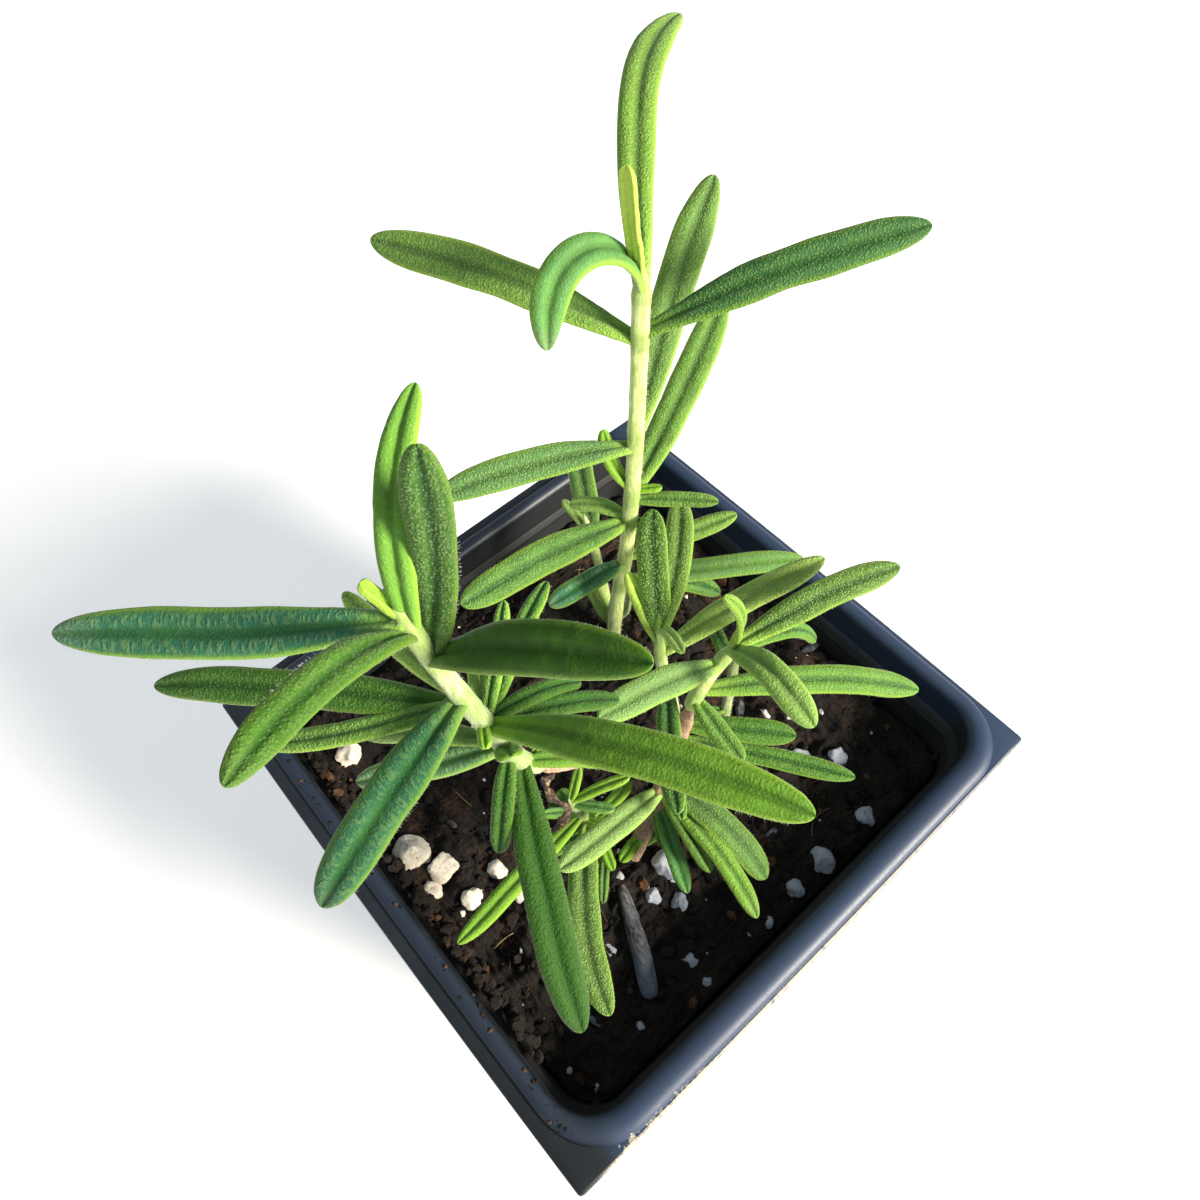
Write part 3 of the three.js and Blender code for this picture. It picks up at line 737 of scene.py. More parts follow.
# Crumbs that cling to the wall below the near left bead, more of them the lower it is.
def wallCrumbShapes():
    random = np.random.default_rng(wallCrumb["seed"])
    shapes = []
    for i in range(wallCrumb["count"]):
        z = between(wallCrumb["heights"], random.random() ** wallCrumb["crowding"])
        size = between(wallCrumb["sizes"], random.random() ** 2)
        wall = min(innerHalf(z), pot["openingWidth"] / 2)
        y = wallCrumb["depth"] * size - wall + random.uniform(0, wallCrumb["proud"])
        tint = random.uniform(*wallCrumb["tints"])
        x = random.uniform(*wallCrumb["ends"])
        shapes.append(crumbShape([x, y, z], size, wallCrumb["squash"], wallCrumb["rough"],
                                 wallCrumb["lumpSeed"] + i, turn=random.uniform(0, 6), tint=tint))
    return shapes


crumbMaterial = crumbFinish()
addPiece("soil_crumbs", mergeShapes(crumbShapes()), crumbMaterial, [], lump["crease"])
strayCrumbs = mergeShapes(rimCrumbShapes() + wallCrumbShapes())
addPiece("rim_crumbs", strayCrumbs, crumbMaterial, [], lump["crease"])
print("crumbs")


# Centripetal Catmull-Rom spline: between two points a cubic whose slopes there come from the points
# next to them, with knots apart by the square root of the distance. Returns points and run along it.
def splineThrough(line, steps=60):
    points = np.array(line, float)
    padded = np.vstack([2 * points[0] - points[1], points, 2 * points[-1] - points[-2]])
    knots = np.sqrt(np.linalg.norm(np.diff(padded, axis=0), axis=1))[:, None]
    before, first, second, after = padded[:-3], padded[1:-2], padded[2:-1], padded[3:]
    gap0, gap1, gap2 = knots[:-2], knots[1:-1], knots[2:]
    slope1 = gap1 * ((first - before) / gap0 - (second - before) / (gap0 + gap1) + (second - first) / gap1)
    slope2 = gap1 * ((second - first) / gap1 - (after - first) / (gap1 + gap2) + (after - second) / gap2)
    way = np.linspace(0, 1, steps, endpoint=False)[None, :, None]
    cubic = (first[:, None] + slope1[:, None] * way
             + (3 * (second - first) - 2 * slope1 - slope2)[:, None] * way ** 2
             + (2 * (first - second) + slope1 + slope2)[:, None] * way ** 3)
    samples = np.vstack([cubic.reshape(-1, 3), points[-1]])
    run = np.concatenate([[0], np.cumsum(np.linalg.norm(np.diff(samples, axis=0), axis=1))])
    return samples, run


# The points of a curve at some runs along it.
def pointsAt(curve, runs):
    samples, run = curve
    return joined(*[np.interp(runs, run, samples[:, k]) for k in range(3)])


# The run at which a rising curve comes to a height.
def runAtHeight(curve, z):
    return np.interp(z, curve[0][:, 2], curve[1])


# Two directions square to a line at each of its points, the first as near the given one as can be.
def crossAxes(centres, near):
    along = unit(np.gradient(centres, axis=0))
    near = np.asarray(near, float)
    right = unit(near - along * (along @ near)[:, None])
    return right, np.cross(along, right)


# A tube: round its line at each centre stands a ring whose radius may change along and around it.
def tubeShape(centres, radii, around, near=(1, 0, 0), marks=None):
    right, up = crossAxes(centres, near)
    angle = np.linspace(0, fullTurn, around, endpoint=False)
    radii = np.broadcast_to(radii, (len(centres), around))[..., None]
    rings = (centres[:, None] + radii * (right[:, None] * np.cos(angle)[:, None]
                                         + up[:, None] * np.sin(angle)[:, None]))
    return skinOver(rings, **(marks or {}))


bark = {
    "line": [[18.2, -14.4], [22.5, -16.4], [27.8, -19], [33.2, -22]],
    "radii": (0.85, 1.45, 1.45), "ways": (0, 0.5, 1), "rise": 0.8, "endShare": 0.1, "endPower": 9,
    "steps": 70, "around": 30, "seed": 8,
    "paints": {"dark": "383536", "light": "74757c", "blue": "7d8b9e", "warm": "a18a78"},
}


# The bit of bark: a tube that widens from its thin end to its middle, with low ridges along it. Its ends
# are round: the radius goes with the root of one minus a high power of the way from the middle.
def barkShape():
    curve = splineThrough(onSoil(*np.transpose(bark["line"]), bark["rise"]))
    way = np.linspace(0, 1, bark["steps"])
    centres = pointsAt(curve, way * curve[1][-1])
    angle = np.linspace(0, fullTurn, bark["around"], endpoint=False)
    ends = np.sqrt(np.clip(1 - np.abs(2 * way - 1) ** bark["endPower"], 0, 1))
    ends = between((bark["endShare"], 1), ends)
    cone = np.interp(way, bark["ways"], bark["radii"])
    field = joined(way[:, None] * 6, np.cos(angle)[None] * 2, np.sin(angle)[None] * 2)
    ridges = noiseAt(field * [0.4, 1, 1], 1, bark["seed"])
    flaws = noiseAt(field * [1, 3, 3], 1, bark["seed"] + 1)
    return tubeShape(centres, (cone * ends)[:, None] * (0.97 + 0.07 * ridges + 0.06 * flaws), bark["around"])


# Grey with long fibres, bluer towards its thick end, with warm patches.
def barkFinish():
    finish = Finish("barkFinish", bark["paints"])
    fibre = finish.noise(0.3, 5, 0.65, finish.stretch(0.2, 0.5, 1))
    tone = finish.blend("dark", "light", fibre.step(0.36, 0.7))
    tone = tone.under("blue", finish.place()[0].step(25, 31) * 0.5)
    tone = tone.under("warm", finish.noise(1.2, 3).step(0.58, 0.76) * 0.6)
    return finish.done({"Base Color": tone, "Roughness": 0.88,
                        "Normal": finish.bump(fibre, 0.2, 0.8), "Specular IOR Level": 0.4})


barkMaterial = barkFinish()
addPiece("bark_piece", barkShape(), barkMaterial, ["bark_bit"])


# Flakes of bark on the soil: each one's place, length and turn.
flake = {
    "places": [[-6.3, -27.9, 3.2, 0.5], [10.1, 37.3, 3.8, 1.2], [9.5, 20.5, 3.7, 2.4],
               [14.2, -24.5, 3.0, 0.9], [-31, -20, 2.6, 1.9], [-34.5, -8, 2.4, 0.3],
               [-20, -36.5, 3.0, 2.8], [30, -30, 2.2, 0.2], [28, 8.5, 2.4, 1.4], [3, -14, 2.6, 2.2]],
    "rise": 0.5, "form": ([1, 0.42, 0.3], 0.22), "grid": (10, 14), "seed": 300,
}
flakes = [lumpShape(onSoil(x, y, flake["rise"]), size, *flake["form"], flake["seed"] + i,
                    *flake["grid"], turn)
          for i, (x, y, size, turn) in enumerate(flake["places"])]
addPiece("bark_flakes", mergeShapes(flakes), barkMaterial, [])


fibre = {
    "count": 230, "length": (2.5, 8), "radius": 0.075, "thickness": (0.6, 1.6), "bend": 2,
    "reach": 35.5, "farthest": 38, "rise": 0.45, "arch": 0.35, "steps": 7, "around": 3, "seed": 31,
    "paints": {"dark": "20140d", "light": "5e4028", "straw": "a58c68", "stain": "1a120c"},
}


# Fibres of peat: thin three-sided tubes that bend in a random arc and lie on the soil.
def fibreShapes():
    random = np.random.default_rng(fibre["seed"])
    shapes = []
    for x, y in scatterPlaces(fibre["count"], fibre["reach"], random):
        length = random.uniform(*fibre["length"])
        start = random.uniform(0, fullTurn)
        heading = start + np.linspace(0, random.uniform(-fibre["bend"], fibre["bend"]), fibre["steps"])
        steps = joined(np.cos(heading), np.sin(heading)) * length / fibre["steps"]
        path = np.cumsum(steps, axis=0) - steps.sum(axis=0) / 2 + [x, y]
        path = np.clip(path, -fibre["farthest"], fibre["farthest"])
        hump = np.sin(np.linspace(0, np.pi, fibre["steps"]))
        lift = fibre["rise"] + fibre["arch"] * hump * random.random()
        tint = np.full(3, random.random())
        radius = fibre["radius"] * random.uniform(*fibre["thickness"])
        shapes.append(tubeShape(onSoil(*path.T, lift), radius, fibre["around"], (0, 0, 1), {"tint": tint}))
    return shapes


# From dark brown to the few straw-coloured ones with the highest tints.
def fibreFinish():
    finish = Finish("fibreFinish", fibre["paints"])
    tint = finish.mark("tint")[0]
    grain = finish.noise(0.3, 3)
    tone = finish.blend("dark", "light", tint.step(0.3, 0.95)).under("straw", tint.step(0.95, 0.98))
    return finish.done({"Base Color": tone.under("stain", grain * 0.5), "Roughness": 0.85,
                        "Normal": finish.bump(grain, 0.05, 0.5)})


addPiece("soil_fibres", mergeShapes(fibreShapes()), fibreFinish(), [])
print("bark and fibres")


# The shoots. A line is a stem's middle line, radii are those at its two ends, and tint tells how far it
# has gone from green over cream to pink at its two ends. A limb is wood up to its woodTop. A leaf is:
# height of its foot on the stem, compass turn and rise of its foot, length, width, fall of its rise by
# the tip, swing of its turn by the tip, roll of its blade about its line, the name of its look, and its
# shade, which is painted light and shade: below 0 it is painted deeper green as shade, above 0 paler as
# light. A nub has a leaf's first five numbers. Lengths are in millimetres and angles in degrees.
plant = {
    "tall": {
        "radii": [1.15, 1], "tint": (0.0, 0.05),
        "line": [[-11.6, 9.4, 60], [-11.2, 9.8, 71], [-9.9, 10.8, 95], [-9.1, 12, 107], [-8.6, 13, 121],
                 [-8, 13.9, 147], [-8, 14.2, 156]],
        "leaves": [
            [153.4, 142, 41, 36.4, 4, 50, -34, 0, "ribbed", 0.15],
            [154, 280, 78, 13.9, 2, -8, 0, 0, "bud", 0.65],
            [153, 250, 78, 21.2, 3.6, 155, 66, -30, "purple", 0.05],
            [146.6, 210, 21, 31.5, 4.4, 21, -4, -45, "plain", 0.15],
            [147.5, 62, 21, 32, 4.2, 19, 3, 45, "streaked", -0.3],
            [132.2, 119, 38, 30.4, 4.6, 1, -11, 15, "dark", 0.15],
            [129.8, 244, 9, 25, 4, 21, 1, -40, "streaked", 0.1],
            [120.8, 107, 26, 28.7, 4.4, 3, 9, 20, "plain", 0.1],
            [121, 222, 62, 12, 2, -22, 0, -55, "yellow", 0.05],
            [115.5, 208, 15, 9, 2.1, 38, 5, -35, "plain", 0.5],
            [119, 40, 16, 11.5, 2, 17, 0, 40, "plain", 0.1],
            [114.8, 264, 16, 26.5, 4.5, 15, 2, -35, "dark", 0.05],
            [105, 269, 16, 14, 3.1, 8, 0, -30, "blue", 0], [106, 61, 18, 17, 2.9, 4, 4, 35, "plain", 0.2],
            [100, 50, 12, 27, 3.3, 7, 0, 35, "pale", 0.2], [99, 66, -14, 21, 3.1, 40, 0, 40, "dark", 0],
        ],
        "nubs": [[121, 43, 20, 3, 1.3], [115, 27, 10, 3, 1.2], [121, 197, 40, 3.2, 1.2]],
    },
    "back": {
        "radii": [0.95, 0.7], "tint": (0.3, 0.1),
        "line": [[-15, 14, 60], [-16, 14.5, 71], [-19, 15.6, 81], [-23, 16.8, 91], [-25, 17, 96]],
        "leaves": [
            [91, 148, 18, 18, 4.4, 23, -2, 0, "dark", 0.1], [92.5, 185, 39, 7, 1.8, 15, 0, 0, "dark", 0.5],
            [74, 206, 77, 12, 3, 9, 0, -45, "dark", 0.8], [73, 8, 76, 17, 3.8, -8, 0, -55, "dark", 0.1],
        ],
        "nubs": [],
    },
    "side": {
        "radii": [0.9, 0.7], "tint": (0.5, 0.3),
        "line": [[11.2, 14.6, 60], [10.7, 15.1, 71], [10, 16, 84], [9, 17.5, 96]],
        "leaves": [
            [96, 68, 18, 6, 2.4, 16, 0, 0, "plain", 0], [80, 248, 18, 9, 2.2, 16, 0, 0, "dark", 0],
            [90, 160, 30, 9, 2.4, 20, 0, 0, "dark", 0],
        ],
        "nubs": [],
    },
    "low": {
        "radii": [0.8, 0.7], "tint": (0.9, 0.6),
        "line": [[12.6, -11.6, 60], [12.7, -12.1, 71], [11.5, -13, 79], [9.5, -14, 86], [8.5, -15, 92]],
        "leaves": [
            [85.7, 277, 7, 24.5, 3, 8, -2, 0, "yellow", -0.05],
            [83.2, 315, 25, 29, 4.4, 19, 32, 0, "bullate", 0.15],
            [86.5, 188, 30, 4.5, 2.3, 15, 0, 0, "dark", 0], [80, 157, 7, 6, 3, 17, 0, 0, "pale", 0.1],
            [82, 90, 33, 9, 2.1, 17, 0, 0, "yellow", 0.1], [87, 241, 29, 5.5, 1.8, 15, 0, 0, "pale", 0.1],
            [81.6, 254, -11, 7.6, 2.7, 16, 0, 0, "dark", 0], [85, 210, 10, 5.5, 1.8, 15, 0, 0, "dark", 0],
            [77, 300, -11, 7, 1.8, 15, 0, 0, "yellow", 0], [78, 340, 0, 5.5, 1.8, 15, 0, 0, "yellow", 0],
            [90, 36, 24, 6.4, 1.8, 15, 0, 0, "pale", 0.1], [91, 60, 38, 10, 1.8, 15, 0, 0, "yellow", 0.1],
            [91, 112, 68, 6.9, 1.5, 15, 0, 0, "yellow", 0.1],
            [82, 241, 22, 4, 1.9, 15, 0, 0, "yellow", 0.1],
            [84.5, 17, 28, 4.4, 1.9, 15, 0, 0, "yellow", 0.1],
            [74, 316, 4, 8.8, 1.6, 15, 0, 0, "dark", 0.1],
        ],
        "nubs": [],
    },
    "right": {
        "woodTop": 103, "woodRadii": [1.3, 1.05], "radii": [1, 0.85], "tint": (0.15, 0.1),
        "line": [[16.3, -10.8, 60], [16, -10, 71], [15.4, -4.5, 85], [13.4, 1, 95], [13, 4.6, 105],
                 [13.8, 7, 111.5], [15, 9, 117]],
        "woodLeaves": [
            [98.5, 43, 4, 15.5, 3.5, 13, 0, 25, "plain", -0.2],
            [96, 35, 2, 24.5, 2.9, 8, 0, 25, "plain", -0.1],
            [93, 28, 5, 19.5, 2.5, 12, 0, 20, "plain", 0.2],
            [87.5, 272, 20, 20, 4.1, 7, -3, 0, "streaked", 0.45],
            [87.5, 350, -1, 13.5, 2.8, 18, -3, 0, "plain", 0.1],
            [87.5, 0, 5, 22.3, 3.1, 31, -16, 0, "ribbed", 0.08],
            [88.7, 14, 2, 20.5, 4.4, 40, -21, 0, "dark", 0.1],
            [85, 338, -12, 13.5, 2.6, 16, 0, 0, "pale", 0], [84.4, 330, -18, 6.2, 1.8, 15, 0, 0, "dark", 0],
            [75, 75, 31, 5, 2.2, 15, 0, 0, "dark", 0], [78, 280, 8, 5.5, 2.1, 15, 0, 0, "yellow", 0],
            [91, 328, 18, 8.4, 2.4, 15, 0, 0, "dark", 0],
        ],
        "leaves": [
            [116.5, 77, 10, 25, 3.8, 25, -2, 25, "granular", 0.05],
            [114.1, 252, 111, 15.2, 1.8, 54, -8, -50, "curled", 0.15],
            [114, 76, 7, 18, 2.2, 72, -11, 30, "plain", -0.15],
            [115.1, -10, 53, 16.8, 3.7, 82, 11, 25, "plain", 0.3],
            [112, 263, 30, 20, 4, 15, 4, -25, "streaked", 0.22],
            [106, 56, 1, 32.5, 3.9, 29, -5, 25, "plain", 0.05],
            [104.5, 349, -5, 10.5, 3.1, 2, 7, 0, "plain", 0.08],
        ],
        "nubs": [],
    },
    "left": {
        "woodTop": 123, "woodRadii": [1.15, 1.1], "radii": [1.05, 0.8], "tint": (0.65, 0.2),
        "line": [[13.5, 0.5, 94], [11.9, -4.9, 99.3], [11.5, -11.2, 107.7], [12.5, -18.4, 119.3],
                 [12.6, -21.8, 126], [11.4, -23, 132], [10.6, -24.4, 141], [8.6, -25.5, 150],
                 [7.4, -26, 156]],
        "woodLeaves": [],
        "leaves": [
            [154, 210, 64, 5, 1.4, 13, 0, 0, "bud", 0.3], [149, 186, 77, 7, 1.4, 14, 0, 0, "bud", -0.1],
            [151.9, 138, 86, 22, 2.9, 72, -17, 0, "sleek", 0.05],
            [148, 95, 73, 24, 3.7, -12, 0, 50, "bullate", -0.3],
            [154, 228, -10, 28.8, 4.2, -17, 4, -30, "blue", -0.05],
            [151.8, 297, 56, 24, 3, 39, 4, -45, "ribbed", -0.35],
            [148.5, 29, 44, 23, 4.2, 26, -3, 35, "shaded", -0.3],
            [142, 201, 39, 14, 2.2, -4, -12, 0, "plain", 0.5],
            [139.5, 219, 0, 33.5, 3.7, 14, 3, -25, "plain", -0.35],
            [142.2, 279, -18, 24.3, 4.7, 25, -8, -25, "blue", -0.3],
            [141, 237, -15, 20.5, 2.4, -6, -9, 0, "plain", 0.1],
            [135.5, 25, 36, 33, 4.2, 38, 0, 20, "smooth", -0.08],
            [136, 144, 26, 8, 2.4, 17, 0, 0, "plain", 0.5],
            [136, 86, 2, 12, 2.2, 46, -7, 0, "plain", -0.45],
            [135, 71, 0, 14.5, 2.4, 37, -6, 0, "plain", -0.45],
            [135.5, 122, 12, 18, 2.2, 32, -2, 0, "plain", -0.05],
            [135.5, 123, 51, 12.5, 1.8, 12, 0, 0, "plain", 0.05],
            [131, 215, -8, 17.5, 2.5, 23, 4, -25, "dark", 0.3],
            [130, 232, -24, 19, 3.1, 2, -5, -25, "blue", 0.2], [130, 342, 58, 5, 2.8, 10, 0, 0, "plain", 0],
            [129, 308, -32, 11.5, 2.5, 22, 0, 0, "plain", -0.4],
            [126.5, 329, -20, 29, 4.3, 20, 11, 0, "ribbed", -0.55],
            [126, 61, -16, 10.5, 2.2, 31, -3, 0, "yellow", -0.3],
        ],
        "nubs": [[136.5, 331, 24, 2.5, 1.4], [124, 113, 50, 2, 0.9]],
    },
    "middle": {
        "woodTop": 98, "woodRadii": [1, 1], "radii": [1, 0.8], "tint": (0.5, 0.1),
        "line": [[13.5, 1, 95], [9.5, 3.5, 99.5], [5.8, 5, 104], [4.2, 6, 109]],
        "woodLeaves": [],
        "leaves": [
            [107, 145, 45, 18, 4.2, 16, -11, 0, "granular", 0],
            [108.5, 121, 25, 20, 3.9, 19, 24, 0, "granular", 0.15],
            [107, 167, 40, 10.5, 2.6, 15, 0, 0, "yellow", 0.6],
            [107.5, 345, 88, 11, 1.8, 80, -4, 0, "plain", 0.7],
            [101.3, 317, 15, 20, 3.4, 10, 10, 0, "dark", -0.1],
            [105.2, 68, 36, 25.4, 3.7, 24, 4, 10, "granular", 0.6],
        ],
        "nubs": [[104.5, 152, 60, 2.7, 1.1]],
    },
}


# A look is how a leaf's upper face is, each from 0 to 1: how light its ground is, how yellow, how blue,
# with a painted sky reflection on its crowns, how strong its cross ribs are, how purple its tip is, how
# grainy it is, how blunt its tip is (the buds go past 1) and how dark its middle groove is painted as shade.
looks = {
    "plain": [0.5, 0.25, 0.1, 0.35, 0.0, 0.5, 0.8, 0.8],
    "dark": [0.25, 0.15, 0.15, 0.25, 0.0, 0.55, 0.85, 0.9],
    "yellow": [0.8, 0.85, 0.0, 0.2, 0.0, 0.25, 0.7, 0.3],
    "bud": [0.9, 1.0, 0.0, 0.1, 0.0, 0.1, 1.5, 0.2],
    "blue": [0.35, 0.0, 0.8, 0.9, 0.15, 0.1, 0.8, 0.3],
    "ribbed": [0.5, 0.4, 0.0, 0.6, 0.1, 0.4, 0.8, 0.6],
    "smooth": [0.4, 0.5, 0.0, 0.2, 0.0, 0.1, 0.9, 0.25],
    "sleek": [0.7, 0.3, 0.1, 0.0, 0.0, 0.1, 0.8, 0.1],
    "shaded": [0.0, 0.3, 0.0, 0.0, 0.0, 0.0, 0.4, 0.1],
    "pale": [0.9, 0.2, 0.5, 0.1, 0.0, 0.3, 0.7, 0.5],
    "streaked": [0.6, 0.1, 0.5, 0.3, 0.0, 0.7, 0.75, 0.9],
    "granular": [0.35, 0.4, 0.0, 0.2, 0.0, 1.0, 0.7, 0.8],
    "bullate": [0.55, 0.35, 0.1, 0.6, 0.0, 0.9, 0.7, 0.9],
    "purple": [0.55, 0.15, 0.4, 0.1, 0.2, 0.1, 0.75, 0.1],
    "curled": [0.7, 0.9, 0.0, 0.2, 0.0, 0.6, 0.7, 0.3],
}


# Half a leaf's cross-section, from the groove over the crown and round the rolled margin to the midrib
# below: shares of the half width, heights in thicknesses, and which face a point belongs to.
blade = {
    "across": [0, 0.07, 0.17, 0.3, 0.45, 0.6, 0.74, 0.86, 0.95, 1, 0.97, 0.88, 0.76, 0.64, 0.54,
               0.36, 0.16, 0],
    "lift": [0.08, 0.11, 0.22, 0.36, 0.43, 0.41, 0.33, 0.2, 0.02, -0.18, -0.34, -0.46, -0.5, -0.44, -0.3,
             -0.22, -0.28, -0.36],
    "face": [1, 1, 1, 1, 1, 1, 1, 1, 1, 0.85, 0.4, 0, 0, 0, 0, 0, 0, 0],
    "bodySteps": 70, "tipSteps": 18, "walkSteps": 240,
    "footWidth": 0.42, "footEnd": 0.42, "tipStarts": (0.52, 0.74), "tipPowers": (2.0, 2.6),
    "thickness": 1.0, "leastThickness": 0.55, "fullWidth": 8, "footThickness": 0.75, "footReach": 0.15,
    "archStart": 0.86, "archPower": 2.2, "bulge": 0.06, "bulgeSize": 0.7, "waver": 0.16, "waverSize": 7,
    "uneven": 0.05, "unevenSize": 4, "lean": 7, "rollEnd": 0.6, "toneSpread": 0.08,
    "paints": {
        "dark": "1f4f0a", "light": "6aa630", "yellow": "9cbf2c", "blue": "2f7468", "groove": "1b5428",
        "pits": "103806", "grains": "b2d884", "ribs": "a6c76c", "margin": "9cc436", "foot": "a3c84e",
        "sparkle": "e3eed2", "tip": "a08f8c", "below": "94a873", "belowLight": "bccb9b", "midrib": "8ba35c",
        "belowYellow": "b2cf3e", "deep": "1b4a04", "pale": "bddb80", "lime": "d4ec48",
    },
}


# The closed section: the right half from its margin up to the groove, the left half over and under,
# and the right half's underside back to the margin.
def bladeSection():
    across, lift, face = [np.array(blade[name]) for name in ("across", "lift", "face")]
    edge = int(np.argmax(across))
    order = np.r_[edge:0:-1, 0:len(across), len(across) - 2:edge:-1]
    side = np.ones(len(order))
    side[edge:edge + len(across)] = -1
    return across[order] * side, lift[order], face[order]


# A blade's width as a share of its widest: from the foot it widens as a quarter of a sine wave, and the
# tip is an arch that starts later and is fuller the blunter the leaf is.
def bladeWidth(way, blunt):
    start = between(blade["tipStarts"], blunt)
    power = between(blade["tipPowers"], blunt)
    foot = between((blade["footWidth"], 1), np.sin(np.pi / 2 * np.clip(way / blade["footEnd"], 0, 1)))
    arch = np.clip((way - start) / (1 - start), 0, 1)
    return foot * np.sqrt(1 - 0.9995 * arch ** power)


# A leaf's directions at points along it: along its line, across its blade and up from its face. Its turn
# swings with the square of the way, its rise falls by a smooth step, and by another its blade rolls.
def bladeAxes(row, way, lean=0.0):
    turn, rise = row[1:3]
    fall, swing, roll = row[5:8]
    heading = np.radians(turn + swing * way ** 2)
    climb = np.radians(rise - fall * smoothStep(way, 0, 1))
    along = joined(np.cos(climb) * np.cos(heading), np.cos(climb) * np.sin(heading), np.sin(climb))
    across = joined(-np.sin(heading), np.cos(heading), 0.0)
    up = np.cross(along, across)
    tilt = np.radians(roll + lean) * smoothStep(way, 0, blade["rollEnd"])[:, None]
    return along, across * np.cos(tilt) + up * np.sin(tilt), up * np.cos(tilt) - across * np.sin(tilt)


# The middle line of a leaf, walked in short steps from its foot, and read at shares of its length.
def bladeLine(foot, row, way):
    count = blade["walkSteps"]
    steps = bladeAxes(row, (np.arange(count) + 0.5) / count)[0]
    line = np.vstack([foot, foot + np.cumsum(steps, axis=0) * row[3] / count])
    return pointsAt((line, np.linspace(0, 1, count + 1)), way)


# A leaf: its section, scaled by its width, stands square to its middle line at each station, a little
# uneven, and leans a little to one side. It is thinner at its foot and arches down to its tip.
def leafShape(foot, row, random):
    length, width = row[3:5]
    light, yellow, blue, ribs, purple, grainy, blunt, groove = looks[row[8]]
    tipStart = blade["tipStarts"][1]
    body = np.linspace(0, tipStart, blade["bodySteps"], endpoint=False)
    tip = tipStart + (1 - tipStart) * np.sin(np.linspace(0, np.pi / 2, blade["tipSteps"]))
    way = np.concatenate([body, tip])
    centres = bladeLine(foot, row, way)
    across, up = bladeAxes(row, way, random.uniform(-blade["lean"], blade["lean"]))[1:]
    seed = random.integers(1000)
    drift = blade["waver"] * noiseAt(joined(way * length, 0.0, 3.1), blade["waverSize"], seed)
    uneven = 1 + blade["uneven"] * noiseAt(joined(way * length, 5.0, 0.0), blade["unevenSize"], seed)
    halfWidth = width / 2 * bladeWidth(way, blunt) * uneven
    share, lift, face = bladeSection()
    sideways = share * halfWidth[:, None] + (drift * smoothStep(way, 0.1, 0.5))[:, None]
    end = np.clip((way - blade["archStart"]) / (1 - blade["archStart"]), 0, 1)
    arch = np.sqrt(1 - 0.985 * end ** blade["archPower"])
    slim = arch * between((blade["footThickness"], 1), smoothStep(way, 0, blade["footReach"]))
    slim = slim * min(1, blade["leastThickness"] + width / blade["fullWidth"])
    upwards = lift * blade["thickness"] * slim[:, None]
    field = joined(way[:, None] * length, sideways, upwards)
    upwards = upwards + blade["bulge"] * noiseAt(field, blade["bulgeSize"], seed + 1) * arch[:, None]
    rings = centres[:, None] + across[:, None] * sideways[..., None] + up[:, None] * upwards[..., None]
    tone = np.clip(light + random.uniform(-blade["toneSpread"], blade["toneSpread"]), 0, 1)
    # The shade mark carries the leaf's painted light and shade and how dark its groove is painted.
    return skinOver(rings, blade=joined(way[:, None] * length, share, face), look=joined(tone, yellow, blue),
                    trait=joined(ribs, purple, grainy), place=joined(way[:, None], width, 0 * share),
                    shade=joined(row[9], groove, 0.0))


# A nub is a small bud or leaf stump on a stem: a short, almost straight leaf.
def nubRow(nub):
    height, turn, rise, length, width = nub
    return [height, turn, rise, length + 1, width, 10, 0, 0, "yellow", 0]


